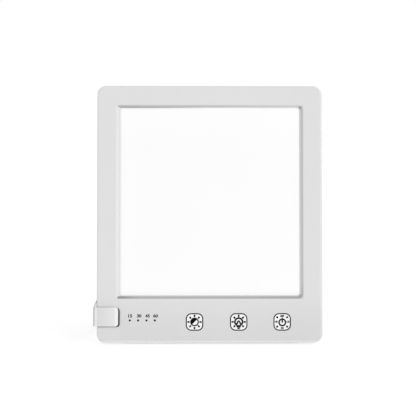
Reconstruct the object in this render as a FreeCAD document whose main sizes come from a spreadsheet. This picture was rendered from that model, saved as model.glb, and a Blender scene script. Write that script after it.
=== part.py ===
"""Light therapy lamp: a slim tablet of light that leans back on one fold-out leg.

All pieces are drawn upright in the panel's own frame, in millimetres:
X runs across the panel from its middle, to the right as seen from the front,
Y is the depth behind the front face, and Z is the height above the panel's bottom edge.
The placement of every piece then leans that frame back and sets the middle of the
foot strip's sole on the origin, so that the table is the plane Z = 0.
"""

import FreeCAD
import Part
import Sketcher
import math
import os
import re

doc = FreeCAD.newDocument("LightTherapyLamp")

# ---------------------------------------------------------------- driving sizes

SIZES = [
    # the housing
    ("lean_angle", 6.0, "degrees that the panel leans back"),
    ("panel_width", 200.0, "across the housing"),
    ("panel_height", 228.5, "up the housing"),
    ("panel_depth", 15.0, "front face to back face"),
    ("corner_radius", 8.0, "corners of the housing, seen from the front"),
    ("front_edge_radius", 1.8, "rounding round the front face"),
    ("rear_edge_radius", 2.5, "rounding round the back face"),
    ("front_wall", 2.2, "wall of the bezel's face"),
    ("shell_wall", 2.2, "side and back walls of both shells"),
    ("split_depth", 7.5, "depth of the joint between bezel and back cover"),
    ("seam_bevel", 0.3, "bevel on both shells where they meet"),
    ("lip_height", 1.5, "how far the cover's lip reaches into the bezel"),
    ("lip_wall", 1.0, "wall of the cover's lip"),
    ("lip_clearance", 0.15, "gap between the lip and the bezel's wall"),
    ("hook_length", 12.0, "snap hooks outside the lip, along the housing's edge"),
    ("hook_reach", 0.7, "how far a hook reaches out of the lip"),
    ("hook_thickness", 0.8, "hook, front to back"),
    ("hook_clearance", 0.15, "round a hook in its recess"),
    # the window in the bezel
    ("window_side", 16.7, "face beside the window, left and right"),
    ("window_top", 17.0, "face above the window"),
    ("window_bottom", 39.2, "face below the window"),
    ("bevel_side", 2.9, "width of the bevel at the sides"),
    ("bevel_top", 2.1, "width of the bevel at the top"),
    ("bevel_bottom", 2.8, "width of the bevel at the bottom"),
    ("window_corner", 2.0, "corner radius of the bevel"),
    # the light stack behind the window, from front to back
    ("stack_margin", 4.7, "how far the sheets reach past the window"),
    ("seal_thickness", 0.6, "foam seal between bezel and diffuser"),
    ("seal_width", 3.6, "width of the foam seal"),
    ("diffuser_thickness", 2.0, "opal diffuser"),
    ("film_thickness", 0.3, "prism film"),
    ("guide_thickness", 3.0, "acrylic light guide"),
    ("reflector_thickness", 0.3, "white reflector sheet"),
    ("tray_thickness", 1.0, "aluminium tray"),
    ("tray_flange", 4.4, "height of the tray's side flanges"),
    ("strip_thickness", 1.0, "circuit strip of the LEDs"),
    ("strip_width", 3.2, "width of that strip, front to back"),
    ("chip_thickness", 0.8, "LED chip, towards the guide"),
    ("chip_width", 2.0, "LED chip, front to back"),
    ("chip_length", 2.8, "LED chip, along the strip"),
    ("chip_gap", 0.3, "between a chip and the guide's edge"),
    ("chip_pitch", 9.0, "from one chip to the next"),
    ("shelf_wall", 2.0, "ribs that carry the sheets"),
    ("shelf_clearance", 0.2, "between those ribs and the sheets"),
    ("lead_width", 3.0, "flat lead to each strip"),
    ("lead_thickness", 0.6, "thickness of that lead"),
    # the control board and its keys
    ("board_end_gap", 23.5, "between the board's ends and the housing's sides"),
    ("board_top_gap", 1.1, "between the board's upper edge and the lower shelf rib"),
    ("board_height", 21.0, "height of the board"),
    ("board_standoff", 2.4, "between the face and the board"),
    ("board_thickness", 1.6, "circuit board"),
    ("board_screw_inset", 3.2, "board screw from the board's upper edge"),
    ("board_fit", 0.1, "between the board and the hooks at its ends"),
    ("board_hook_wall", 1.4, "wall of those hooks"),
    ("board_hook_grip", 0.8, "how far a hook reaches over the board"),
    ("board_hook_height", 4.0, "those hooks, up the face"),
    ("board_hook_drop", 6.0, "middle of those hooks below the board's middle"),
    ("board_rest_length", 6.0, "ribs that the board's lower edge lies on, across"),
    ("board_rest_height", 2.0, "height of those ribs"),
    ("key_inset", 12.0, "last key from the board's right end"),
    ("key_pitch", 39.0, "from one key to the next"),
    ("key_level", 18.7, "height of the keys' middles"),
    ("key_pad_side", 10.0, "square foam pad behind each key"),
    ("timer_inset", 5.7, "first timer light from the board's left end"),
    ("timer_pitch", 7.4, "from one timer light to the next"),
    ("timer_level", 20.1, "height of the timer lights"),
    ("timer_radius", 0.7, "lens of a timer light"),
    ("timer_bar_margin", 1.3, "bar behind the lenses, past their middles"),
    ("timer_bar", 1.2, "thickness of that bar"),
    ("lens_clearance", 0.05, "round each lens"),
    ("timer_led_length", 1.6, "LED behind each lens, across"),
    ("timer_led_height", 1.0, "height of that LED"),
    ("timer_led_thickness", 0.8, "thickness of that LED"),
    # what stands on the board's back
    ("socket_inset", 8.5, "lead sockets from the board's ends"),
    ("socket_length", 6.0, "lead socket, across"),
    ("socket_height", 5.0, "height of a lead socket"),
    ("socket_rise", 4.2, "lead socket above the board"),
    ("controller_side", 7.0, "square controller chip in the middle"),
    ("controller_rise", 1.2, "that chip above the board"),
    ("driver_place", -26.0, "place of the LED driver chip"),
    ("driver_side", 5.5, "square driver chip"),
    ("driver_rise", 1.4, "that chip above the board"),
    ("choke_place", 22.0, "place of the choke"),
    ("choke_side", 8.0, "square choke"),
    ("choke_rise", 4.5, "choke above the board"),
    ("capacitor_place", -44.0, "place of the film capacitor"),
    ("capacitor_length", 10.0, "film capacitor, across"),
    ("capacitor_height", 6.5, "height of that capacitor"),
    ("capacitor_rise", 5.4, "that capacitor above the board"),
    # the power inlet
    ("inlet_inset", 26.5, "inlet from the board's right end"),
    ("inlet_level", 22.0, "height of the inlet"),
    ("inlet_body", 10.0, "square body of the inlet"),
    ("inlet_collar_radius", 4.3, "round collar in the back cover"),
    ("inlet_bore_radius", 3.2, "socket for the plug's sleeve"),
    ("inlet_floor", 0.8, "floor of that socket, above the board"),
    ("inlet_pin_radius", 1.05, "centre pin"),
    ("inlet_pin_recess", 0.8, "centre pin below the cover's face"),
    ("inlet_clearance", 0.2, "between the collar and the cover"),
    # posts and screws that hold the housing together
    ("post_wall", 0.5, "wall of a screw post round a counterbore"),
    ("screw_radius", 1.4, "shank of a cover screw"),
    ("screw_clearance", 0.05, "round a shank in its pilot hole"),
    ("screw_bite", 3.0, "how far a cover screw enters the bezel's post"),
    ("pilot_end_gap", 0.8, "pilot hole beyond a screw's tip"),
    ("screw_head_radius", 2.4, "head of a cover screw"),
    ("screw_head", 1.6, "height of that head"),
    ("head_clearance", 0.2, "round a head in its counterbore"),
    ("hole_clearance", 0.2, "round a shank where it only passes through"),
    ("counterbore_depth", 2.0, "depth of a counterbore"),
    ("board_post_radius", 2.5, "post under the board"),
    ("board_screw_radius", 1.0, "shank of the board screw"),
    ("board_screw_reach", 1.8, "how far that shank enters its post"),
    ("board_pilot_gap", 0.2, "pilot hole beyond that shank"),
    ("board_screw_head_radius", 1.9, "head of the board screw"),
    ("board_screw_head", 1.2, "height of that head"),
    # the back cover
    ("rib_wall", 1.6, "ribs that press on the tray"),
    ("rib_place", 45.0, "upright ribs from the middle"),
    ("vent_length", 22.0, "vent slot, up the cover"),
    ("vent_width", 2.2, "vent slot, across"),
    ("vent_bevel", 0.6, "bevelled corners of a vent slot"),
    ("vent_pitch", 6.4, "from one slot to the next"),
    ("vent_level", 185.0, "height of the vents' middle"),
    # the foot strip in the bottom wall
    ("foot_width", 3.5, "width of the strip, front to back"),
    ("foot_half_length", 78.0, "half the strip's length"),
    ("foot_recess", 1.0, "depth of its groove"),
    ("foot_proud", 0.3, "how far its rear side stands out of the wall"),
    # the clip on the left edge
    ("clip_bottom", 14.7, "height of the clip's lower side"),
    ("clip_height", 17.3, "height of the clip, level with the front face"),
    ("tab_reach", 19.0, "how far the front jaw reaches over the face"),
    ("rear_reach", 16.0, "how far the rear jaw reaches over the back"),
    ("clip_wall", 3.0, "wall round the housing's side"),
    ("jaw_wall", 2.2, "both jaws"),
    ("side_gap", 0.3, "between the clip and the housing's side"),
    ("grip_gap", 0.2, "between a grip pad and the housing"),
    ("grip_proud", 0.3, "how far a grip pad stands out of its jaw"),
    ("grip_thickness", 0.8, "grip pad"),
    ("grip_inset", 1.0, "grip pads from the housing's side"),
    ("grip_margin", 0.8, "jaw left bare above a grip pad, and below the rear one"),
    ("grip_lip", 1.3, "front grip pad past the end of its jaw"),
    ("grip_drop", 0.4, "front grip pad past the lower side of its jaw"),
    ("rear_grip_inset", 2.6, "rear grip pad short of the end of its jaw"),
    ("grip_corner_radius", 2.8, "corners at the open end of a grip pad"),
    ("clip_edge_radius", 3.8, "upright edge where tab and side meet"),
    ("tab_corner_radius", 3.0, "corners of the front jaw"),
    ("tab_edge_radius", 0.9, "rounding round the front jaw's face"),
    # the hinge
    ("knuckle_radius", 2.5, "knuckles of the hinge"),
    ("pin_radius", 1.0, "hinge pin"),
    ("pin_clearance", 0.05, "between the pin and the leg's bore"),
    ("pin_end_gap", 0.3, "pin ends below the knuckles' faces"),
    ("knuckle_height", 4.6, "each of the clip's two knuckles"),
    ("hinge_gap", 0.3, "between turning and fixed pieces"),
    # the leg
    ("leg_thickness", 3.5, "plate of the leg"),
    ("leg_reach", 110.0, "depth of the leg's far end behind the front face"),
    ("leg_drop", 0.048, "fall of the lower edge, per millimetre of depth"),
    ("leg_rim", 3.6, "rim round the hollow of the inner face"),
    ("leg_hollow", 1.5, "depth of that hollow"),
    ("leg_hollow_bevel", 3.0, "bevelled corner of that hollow, at the leg's tip"),
    ("leg_tip_radius", 8.0, "upper corner of the far end"),
    ("leg_corner_radius", 1.6, "other corners of the leg"),
    ("leg_edge_bevel", 0.7, "bevel round the outer face"),
    ("sole_height", 1.8, "foot pad under the leg"),
    ("sole_length", 13.0, "length of that pad"),
    ("sole_side_gap", 0.2, "leg's side left bare beside that pad"),
    ("sole_back_gap", 1.0, "leg's far end left bare behind that pad"),
    # how far a feature starts inside its neighbour or runs past what it cuts
    ("merge", 0.5, "overlap of two features that fuse"),
    ("past", 1.0, "cuts beyond the face that they open"),
]

sizes = doc.addObject("Spreadsheet::Sheet", "Sizes")
for row, (alias, value, note) in enumerate(SIZES, start=1):
    sizes.set(f"A{row}", note)
    sizes.set(f"B{row}", str(value))
    sizes.setAlias(f"B{row}", alias)
doc.recompute()

ALIASES = {alias for alias, _, _ in SIZES}


def full(expression):
    """Return the expression with each alias written as a cell of the sheet."""
    return re.sub(r"[a-z_]\w*", lambda word: f"Sizes.{word[0]}" if word[0] in ALIASES else word[0],
                  str(expression))


def number(expression):
    """Return what an expression of the sheet's aliases comes to."""
    return float(sizes.evalExpression(full(expression)))


# ---------------------------------------------------- places worked out from them

HALF = "(panel_width / 2)"
SLOPE = "tan(lean_angle)"

# inner edge of the window, and the edges of the sheets behind it
WINDOW_HALF = f"({HALF} - window_side - bevel_side)"
WINDOW_LOW = "(window_bottom + bevel_bottom)"
WINDOW_HIGH = "(panel_height - window_top - bevel_top)"
SHEET_HALF = f"({WINDOW_HALF} + stack_margin)"
SHEET_LOW = f"({WINDOW_LOW} - stack_margin)"
SHEET_HIGH = f"({WINDOW_HIGH} + stack_margin)"

# depths at which the layers of the light stack begin
SEAL_FRONT = "front_wall"
DIFFUSER_FRONT = f"({SEAL_FRONT} + seal_thickness)"
FILM_FRONT = f"({DIFFUSER_FRONT} + diffuser_thickness)"
GUIDE_FRONT = f"({FILM_FRONT} + film_thickness)"
REFLECTOR_FRONT = f"({GUIDE_FRONT} + guide_thickness)"
TRAY_FRONT = f"({REFLECTOR_FRONT} + reflector_thickness)"
TRAY_BACK = f"({TRAY_FRONT} + tray_thickness)"
GUIDE_MIDDLE = f"({GUIDE_FRONT} + guide_thickness / 2)"

# from the guide's edge outwards
CHIP_FACE = f"({SHEET_HALF} + chip_gap)"
STRIP_FACE = f"({CHIP_FACE} + chip_thickness)"
STRIP_BACK = f"({STRIP_FACE} + strip_thickness)"
FLANGE_BACK = f"({STRIP_BACK} + tray_thickness)"

# the back cover
COVER_INSIDE = "(panel_depth - shell_wall)"
LIP_OUTSIDE = "(shell_wall + lip_clearance)"
LIP_INSIDE = f"({LIP_OUTSIDE} + lip_wall)"
LIP_FRONT = "(split_depth - lip_height)"
SHOULDER = "(panel_depth - counterbore_depth)"
SCREW_TIP = "(split_depth - screw_bite)"
POST_RADIUS = "(screw_head_radius + head_clearance + post_wall)"

# the ribs above and below the sheets
SHELF_UNDER = f"({SHEET_LOW} - shelf_clearance)"
SHELF_OVER = f"({SHEET_HIGH} + shelf_clearance)"

# the control board, the keys in front of it and the inlet behind it
BOARD_HALF = f"({HALF} - board_end_gap)"
BOARD_TOP = f"({SHELF_UNDER} - shelf_wall - board_top_gap)"
BOARD_BOTTOM = f"({BOARD_TOP} - board_height)"
BOARD_LEVEL = f"({BOARD_TOP} - board_height / 2)"
BOARD_FRONT = "(front_wall + board_standoff)"
BOARD_BACK = f"({BOARD_FRONT} + board_thickness)"
SOCKET_PLACE = f"({BOARD_HALF} - socket_inset)"
KEY_LAST = f"({BOARD_HALF} - key_inset)"
TIMER_FIRST = f"(timer_inset - {BOARD_HALF})"
INLET_PLACE = f"({BOARD_HALF} - inlet_inset)"
INLET_BOTTOM = f"({BOARD_BACK} + inlet_floor)"

# the foot strip ends where the rounding of the back begins
FOOT_BACK = "(panel_depth - rear_edge_radius)"
FOOT_FRONT = f"({FOOT_BACK} - foot_width)"
FOOT_MIDDLE = f"({FOOT_BACK} - foot_width / 2)"


def table_height(depth):
    """Return the height of the table under a depth, in the leaning frame."""
    return f"(({depth} - {FOOT_BACK}) * {SLOPE} - foot_proud)"


# the clip and its hinge
CLIP_TOP = "(clip_bottom + clip_height)"
CLIP_SIDE = f"(-{HALF} - side_gap - clip_wall)"
JAW_GAP = "(grip_gap + grip_proud)"
TAB_FRONT = f"(-{JAW_GAP} - jaw_wall)"
REAR_FACE = f"(panel_depth + {JAW_GAP} + jaw_wall)"
CLIP_SPAN = "(clip_wall + side_gap + tab_reach)"
PIN_X = f"({CLIP_SIDE} + knuckle_radius)"
PIN_Y = f"({REAR_FACE} + hinge_gap + knuckle_radius)"
LOWER_KNUCKLE_TOP = "(clip_bottom + knuckle_height)"
UPPER_KNUCKLE_BOTTOM = f"({CLIP_TOP} - knuckle_height)"

# the leg
LEG_ROOT = f"({PIN_Y} + knuckle_radius + hinge_gap)"
LEG_INSIDE = f"({CLIP_SIDE} + leg_thickness)"
SOLE_BACK = "(leg_reach - sole_back_gap)"
SOLE_FRONT = f"({SOLE_BACK} - sole_length)"


def leg_top(depth):
    """Return the height of the leg's upper edge, which is level with the table."""
    return f"({CLIP_TOP} + {depth} * {SLOPE})"


def leg_bottom(depth):
    """Return the height of the leg's lower edge, which falls towards the table."""
    return f"(clip_bottom - {depth} * leg_drop)"


def leg_seat(depth):
    """Return the height of the edge that rests on the foot pad."""
    return f"({table_height(depth)} + sole_height)"


# ------------------------------------------------------------------ small helpers

PLANES = {"across": "XZ_Plane", "flat": "XY_Plane", "side": "YZ_Plane"}


def new_body(name):
    """Return an empty body that leans back with the panel."""
    body = doc.addObject("PartDesign::Body", name)
    body.Label = name
    turn = FreeCAD.Rotation(FreeCAD.Vector(1, 0, 0), -number("lean_angle"))
    body.Placement = FreeCAD.Placement(FreeCAD.Vector(), turn)
    body.setExpression("Placement.Rotation.Angle", full("-lean_angle"))
    sole = table_height(FOOT_MIDDLE)
    body.setExpression("Placement.Base.y", full(
        f"-({FOOT_MIDDLE} * cos(lean_angle) + {sole} * sin(lean_angle))"))
    body.setExpression("Placement.Base.z", full(
        f"{FOOT_MIDDLE} * sin(lean_angle) - {sole} * cos(lean_angle)"))
    return body


def new_sketch(body, name, view, start="0"):
    """Attach a sketch to one of the body's planes, at a distance along its axis.

    The view "across" faces the panel and starts at a depth, "flat" looks down and starts
    at a height, and "side" looks along the panel's width and starts at a place across it.
    """
    sketch = body.newObject("Sketcher::SketchObject", f"{body.Label}_{name}_sketch")
    plane = next(item for item in body.Origin.OriginFeatures if item.Role == PLANES[view])
    sketch.AttachmentSupport = [(plane, "")]
    sketch.MapMode = "FlatFace"
    sign = "-" if view == "across" else ""
    sketch.setExpression("AttachmentOffset.Base.z", full(f"{sign}({start})"))
    return sketch


def hold_point(sketch, geometry, vertex, x, y):
    """Hold a vertex of the sketch at a place given by two expressions."""
    for kind, expression in (("DistanceX", x), ("DistanceY", y)):
        value = number(expression)
        index = sketch.addConstraint(Sketcher.Constraint(kind, -1, 1, geometry, vertex, value))
        sketch.setExpression(f"Constraints[{index}]", full(expression))


def add_outline(sketch, points):
    """Draw a closed outline of straight lines through points given as expressions."""
    places = [FreeCAD.Vector(number(x), number(y), 0) for x, y in points]
    first = sketch.GeometryCount
    count = len(points)
    for index in range(count):
        edge = Part.LineSegment(places[index], places[(index + 1) % count])
        sketch.addGeometry(edge, False)
    for index in range(count):
        following = first + (index + 1) % count
        sketch.addConstraint(Sketcher.Constraint("Coincident", first + index, 2, following, 1))
    for index, (x, y) in enumerate(points):
        hold_point(sketch, first + index, 1, x, y)


def add_rectangle(sketch, left, right, low, high):
    """Draw a rectangle between two places across and two heights."""
    add_outline(sketch, [(left, low), (right, low), (right, high), (left, high)])


def add_rounded_rectangle(sketch, left, right, low, high, radius):
    """Draw a rectangle with four equal round corners: a side, then the corner after it."""
    corners = [(right, low, "-", "+"), (right, high, "-", "-"), (left, high, "+", "-"),
               (left, low, "+", "+")]
    first = sketch.GeometryCount
    ends = []
    for index, (x, y, inward_x, inward_y) in enumerate(corners):
        along_x = (f"({x}) {inward_x} ({radius})", y)
        along_y = (x, f"({y}) {inward_y} ({radius})")
        entry, leaving = (along_x, along_y) if index % 2 == 0 else (along_y, along_x)
        ends.append((entry, leaving, (along_x[0], along_y[1])))
    for index, (entry, leaving, centre) in enumerate(ends):
        start = ends[index - 1][1]
        points = [FreeCAD.Vector(number(x), number(y), 0) for x, y in (start, entry, centre)]
        sketch.addGeometry(Part.LineSegment(points[0], points[1]), False)
        turn = math.radians(90 * index - 90)
        rounding = Part.Circle(points[2], FreeCAD.Vector(0, 0, 1), number(radius))
        sketch.addGeometry(Part.ArcOfCircle(rounding, turn, turn + math.pi / 2), False)
    for index, (entry, _, _) in enumerate(ends):
        side, corner = first + 2 * index, first + 2 * index + 1
        following = first + (2 * index + 2) % 8
        sketch.addConstraint(Sketcher.Constraint("Coincident", side, 2, corner, 1))
        sketch.addConstraint(Sketcher.Constraint("Coincident", corner, 2, following, 1))
        hold_point(sketch, side, 1, *ends[index - 1][1])
        hold_point(sketch, side, 2, *entry)
        held = sketch.addConstraint(Sketcher.Constraint("Radius", corner, number(radius)))
        sketch.setExpression(f"Constraints[{held}]", full(radius))


def add_circle(sketch, x, y, radius):
    """Draw a circle held at its centre and by its radius."""
    centre = FreeCAD.Vector(number(x), number(y), 0)
    round_edge = Part.Circle(centre, FreeCAD.Vector(0, 0, 1), number(radius))
    index = sketch.addGeometry(round_edge, False)
    hold_point(sketch, index, 3, x, y)
    held = sketch.addConstraint(Sketcher.Constraint("Radius", index, number(radius)))
    sketch.setExpression(f"Constraints[{held}]", full(radius))


def is_across(sketch):
    """Tell whether a sketch faces the panel, where its normal points forwards."""
    return sketch.AttachmentSupport[0][0].Role == PLANES["across"]


def pad(sketch, length):
    """Fill the sketch over a length, away from the front, the table or the left side."""
    body = sketch.getParentGeoFeatureGroup()
    feature = body.newObject("PartDesign::Pad", sketch.Label.replace("_sketch", "_pad"))
    feature.Profile = sketch
    feature.setExpression("Length", full(length))
    feature.Reversed = is_across(sketch)
    sketch.Visibility = False
    return feature


def pocket(sketch, length):
    """Cut the sketch over a length, in the same direction as a pad."""
    body = sketch.getParentGeoFeatureGroup()
    feature = body.newObject("PartDesign::Pocket", sketch.Label.replace("_sketch", "_cut"))
    feature.Profile = sketch
    feature.setExpression("Length", full(length))
    feature.Reversed = not is_across(sketch)
    sketch.Visibility = False
    return feature


def plate(body, name, left, right, low, high, front, back):
    """Pad one rectangle that faces the panel, between two depths."""
    sketch = new_sketch(body, name, "across", front)
    add_rectangle(sketch, left, right, low, high)
    return pad(sketch, f"({back}) - ({front})")


def discs(body, name, places, radius, front, back):
    """Pad one disc at each place, between two depths."""
    sketch = new_sketch(body, name, "across", front)
    for x, z in places:
        add_circle(sketch, x, z, radius)
    return pad(sketch, f"({back}) - ({front})")


def drill(body, name, places, radius, front, back):
    """Cut one round hole at each place, between two depths."""
    sketch = new_sketch(body, name, "across", front)
    for x, z in places:
        add_circle(sketch, x, z, radius)
    return pocket(sketch, f"({back}) - ({front})")


def repeat(feature, axis, pitch, count):
    """Repeat a feature along one of the body's axes, which then is the body's tip."""
    body = feature.getParentGeoFeatureGroup()
    row = body.newObject("PartDesign::LinearPattern", f"{feature.Label}_row")
    row.Originals = [feature]
    line = next(item for item in body.Origin.OriginFeatures if item.Role == axis)
    row.Direction = (line, [""])
    row.Mode = "Spacing"
    row.setExpression("Offset", full(pitch))
    row.Occurrences = count
    body.Tip = row
    return row


def near(value, target):
    """Tell whether two lengths are the same to a hundredth of a millimetre."""
    return abs(value - target) < 0.01


def dress_edges(body, kind, name, size_property, size, wanted):
    """Dress the edges of the body's last feature whose box in the body's frame is wanted."""
    doc.recompute()
    base = body.Tip
    names = [f"Edge{index}" for index, edge in enumerate(base.Shape.Edges, start=1)
             if wanted(edge.BoundBox)]
    dressing = body.newObject(f"PartDesign::{kind}", f"{body.Label}_{name}_{kind.lower()}")
    dressing.Base = (base, names)
    dressing.setExpression(size_property, full(size))
    return dressing


def round_edges(body, name, radius, wanted):
    """Round the wanted edges of the body's last feature."""
    return dress_edges(body, "Fillet", name, "Radius", radius, wanted)


def bevel_edges(body, name, width, wanted):
    """Bevel the wanted edges of the body's last feature."""
    return dress_edges(body, "Chamfer", name, "Size", width, wanted)


def housing_outline(body, name, inset, front, back, cut=False):
    """Pad or cut the housing's rounded outline, set in from its sides, between two depths."""
    sketch = new_sketch(body, name, "across", front)
    side = f"({HALF} - {inset})"
    add_rounded_rectangle(sketch, f"-{side}", side, inset, f"panel_height - {inset}",
                          f"corner_radius - {inset}")
    return (pocket if cut else pad)(sketch, f"({back}) - ({front})")


SIDES = (("left", -1), ("right", 1))


def sided(sign, inner, outer):
    """Return the left and right of a span that lies on one side of the middle."""
    return (f"-{outer}", f"-{inner}") if sign < 0 else (inner, outer)


# --------------------------------------------------------------- the front bezel

POSTS = [(f"{sign}({HALF} - corner_radius)", level)
         for level in ("corner_radius", "(panel_height - corner_radius)") for sign in ("-", "")]
BOARD_SCREW = [("0", f"({BOARD_TOP} - board_screw_inset)")]
TIMER_COUNT = 4
TIMER_LIGHTS = [(f"{TIMER_FIRST} + {index} * timer_pitch", "timer_level")
                for index in range(TIMER_COUNT)]
KEYS = [(f"{KEY_LAST} - {index} * key_pitch", "key_level") for index in range(3)]


def add_hooks(sketch, spare):
    """Draw the snap hooks round the lip, each grown by a spare length on its three free sides."""
    root = f"({LIP_OUTSIDE} + lip_wall / 2)"
    tip = f"({LIP_OUTSIDE} - hook_reach - {spare})"
    half = f"(hook_length / 2 + {spare})"
    for level in ("panel_height / 3", "2 * panel_height / 3"):
        low, high = f"{level} - {half}", f"{level} + {half}"
        add_rectangle(sketch, f"{tip} - {HALF}", f"{root} - {HALF}", low, high)
        add_rectangle(sketch, f"{HALF} - {root}", f"{HALF} - {tip}", low, high)
    add_rectangle(sketch, f"-{half}", half, tip, root)
    add_rectangle(sketch, f"-{half}", half, f"panel_height - {root}", f"panel_height - {tip}")


def bevel_seam(body):
    """Bevel the edge along which the two shells meet."""
    split = number("split_depth")
    bevel_edges(body, "seam", "seam_bevel",
                lambda box: near(box.YMin, split) and near(box.YMax, split))


def add_board_seat(body, side, sign):
    """Stand a rest rib under one half of the board, and a snap hook at its end."""
    place = f"({KEY_LAST} - key_pitch / 2)"
    left, right = sided(sign, f"({place} - board_rest_length / 2)",
                        f"({place} + board_rest_length / 2)")
    plate(body, f"board_rest_{side}", left, right, BOARD_BOTTOM,
          f"{BOARD_BOTTOM} + board_rest_height", "front_wall", BOARD_FRONT)

    low = f"({BOARD_LEVEL} - board_hook_drop - board_hook_height / 2)"
    end = f"({BOARD_HALF} + board_fit + board_hook_wall)"
    over = f"({BOARD_BACK} + board_fit)"
    left, right = sided(sign, f"({BOARD_HALF} + board_fit)", end)
    plate(body, f"board_hook_{side}", left, right, low, f"{low} + board_hook_height",
          "front_wall", over)
    left, right = sided(sign, f"({BOARD_HALF} - board_hook_grip)", end)
    plate(body, f"board_nib_{side}", left, right, low, f"{low} + board_hook_height",
          over, f"{over} + board_hook_wall")


def make_front_bezel():
    """Mould the front shell: face, side walls, bevelled window, posts and shelf ribs."""
    body = new_body("front_bezel")
    housing_outline(body, "shell", "0", "0", "split_depth")
    round_edges(body, "front_edge", "front_edge_radius",
                lambda box: near(box.YMin, 0) and near(box.YMax, 0))
    bevel_seam(body)
    housing_outline(body, "hollow", "shell_wall", "front_wall", "split_depth", cut=True)

    outer = new_sketch(body, "window_outer", "across", "0")
    add_rounded_rectangle(outer, f"-({HALF} - window_side)", f"({HALF} - window_side)",
                          "window_bottom", "panel_height - window_top", "window_corner")
    inner = new_sketch(body, "window_inner", "across", "front_wall")
    add_rounded_rectangle(inner, f"-{WINDOW_HALF}", WINDOW_HALF, WINDOW_LOW, WINDOW_HIGH,
                          "window_corner")
    window = body.newObject("PartDesign::SubtractiveLoft", "front_bezel_window_cut")
    window.Profile = outer
    window.Sections = [inner]
    window.Ruled = True
    outer.Visibility = False
    inner.Visibility = False

    recesses = new_sketch(body, "hook_recesses", "across", f"{LIP_FRONT} - hook_clearance")
    add_hooks(recesses, "hook_clearance")
    pocket(recesses, "hook_thickness + 2 * hook_clearance")

    discs(body, "posts", POSTS, POST_RADIUS, "front_wall", "split_depth")
    drill(body, "pilot_holes", POSTS, "screw_radius + screw_clearance",
          f"{SCREW_TIP} - pilot_end_gap", "split_depth")
    discs(body, "board_post", BOARD_SCREW, "board_post_radius", "front_wall", BOARD_FRONT)
    drill(body, "board_pilot", BOARD_SCREW, "board_screw_radius + screw_clearance",
          f"{BOARD_FRONT} - board_screw_reach - board_pilot_gap", BOARD_FRONT)
    drill(body, "lens_holes", TIMER_LIGHTS, "timer_radius + lens_clearance", "0", "front_wall")

    plate(body, "lower_shelf", f"-{SHEET_HALF}", SHEET_HALF, f"{SHELF_UNDER} - shelf_wall",
          SHELF_UNDER, "front_wall", "split_depth")
    plate(body, "upper_shelf", f"-{SHEET_HALF}", SHEET_HALF, SHELF_OVER,
          f"{SHELF_OVER} + shelf_wall", "front_wall", "split_depth")
    for side, sign in SIDES:
        add_board_seat(body, side, sign)
    return body


# ----------------------------------------------------------------- the light stack

def make_sheet(name, front, thickness):
    """Cut one plain sheet of the stack to the size of the light guide."""
    body = new_body(name)
    plate(body, "sheet", f"-{SHEET_HALF}", SHEET_HALF, SHEET_LOW, SHEET_HIGH,
          front, f"{front} + {thickness}")
    return body


def make_light_seal():
    """Cut the foam frame that keeps light from leaking round the diffuser."""
    body = make_sheet("light_seal", SEAL_FRONT, "seal_thickness")
    opening = new_sketch(body, "opening", "across", SEAL_FRONT)
    add_rectangle(opening, f"-({SHEET_HALF} - seal_width)", f"({SHEET_HALF} - seal_width)",
                  f"{SHEET_LOW} + seal_width", f"{SHEET_HIGH} - seal_width")
    pocket(opening, "seal_thickness")
    return body


def make_back_tray():
    """Fold the aluminium tray that backs the stack and carries both LED strips."""
    body = new_body("back_tray")
    sketch = new_sketch(body, "section", "flat", SHEET_LOW)
    front = f"({TRAY_BACK} - tray_flange)"
    add_outline(sketch, [
        (f"-{FLANGE_BACK}", front), (f"-{STRIP_BACK}", front), (f"-{STRIP_BACK}", TRAY_FRONT),
        (STRIP_BACK, TRAY_FRONT), (STRIP_BACK, front), (FLANGE_BACK, front),
        (FLANGE_BACK, TRAY_BACK), (f"-{FLANGE_BACK}", TRAY_BACK)])
    pad(sketch, f"{SHEET_HIGH} - {SHEET_LOW}")
    outer = number(FLANGE_BACK)
    back = number(TRAY_BACK)
    round_edges(body, "bend", "0.9 * tray_thickness",
                lambda box: near(abs(box.Center.x), outer) and near(box.Center.y, back)
                and box.ZLength > 1 and box.XLength < 0.01)
    return body


def make_led_strip(side, sign):
    """Cut the circuit strip that stands in the tray beside one edge of the guide."""
    body = new_body(f"led_strip_{side}")
    left, right = sided(sign, STRIP_FACE, STRIP_BACK)
    plate(body, "strip", left, right, SHEET_LOW, SHEET_HIGH,
          f"{GUIDE_MIDDLE} - strip_width / 2", f"{GUIDE_MIDDLE} + strip_width / 2")
    return body


def make_led_chips(side, sign):
    """Set a row of LED chips on one strip, facing the guide's edge."""
    body = new_body(f"led_chips_{side}")
    left, right = sided(sign, CHIP_FACE, STRIP_FACE)
    span = number(f"{SHEET_HIGH} - {SHEET_LOW} - 2 * chip_length")
    count = int(span / number("chip_pitch")) + 1
    lowest = f"(({SHEET_LOW} + {SHEET_HIGH} - {count - 1} * chip_pitch) / 2)"
    chip = plate(body, "chip", left, right, f"{lowest} - chip_length / 2",
                 f"{lowest} + chip_length / 2", f"{GUIDE_MIDDLE} - chip_width / 2",
                 f"{GUIDE_MIDDLE} + chip_width / 2")
    repeat(chip, "Z_Axis", "chip_pitch", count)
    return body


def make_led_lead(side, sign):
    """Lay the flat lead from its socket past the board's end to the foot of one LED strip."""
    body = new_body(f"led_lead_{side}")
    mirror = "-" if sign < 0 else ""
    low = f"({BOARD_LEVEL} - lead_width / 2)"
    high = f"({BOARD_LEVEL} + lead_width / 2)"
    inner = f"{mirror}({SOCKET_PLACE} + socket_length / 2)"
    outer = f"{mirror}{STRIP_BACK}"
    riser = f"{mirror}({STRIP_BACK} - lead_width / 2)"
    sketch = new_sketch(body, "run", "across", BOARD_BACK)
    add_outline(sketch, [
        (inner, low), (outer, low), (outer, SHEET_LOW), (riser, SHEET_LOW), (riser, high),
        (inner, high)])
    pad(sketch, "lead_thickness")
    return body


# ------------------------------------------------------------------ the electronics

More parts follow.
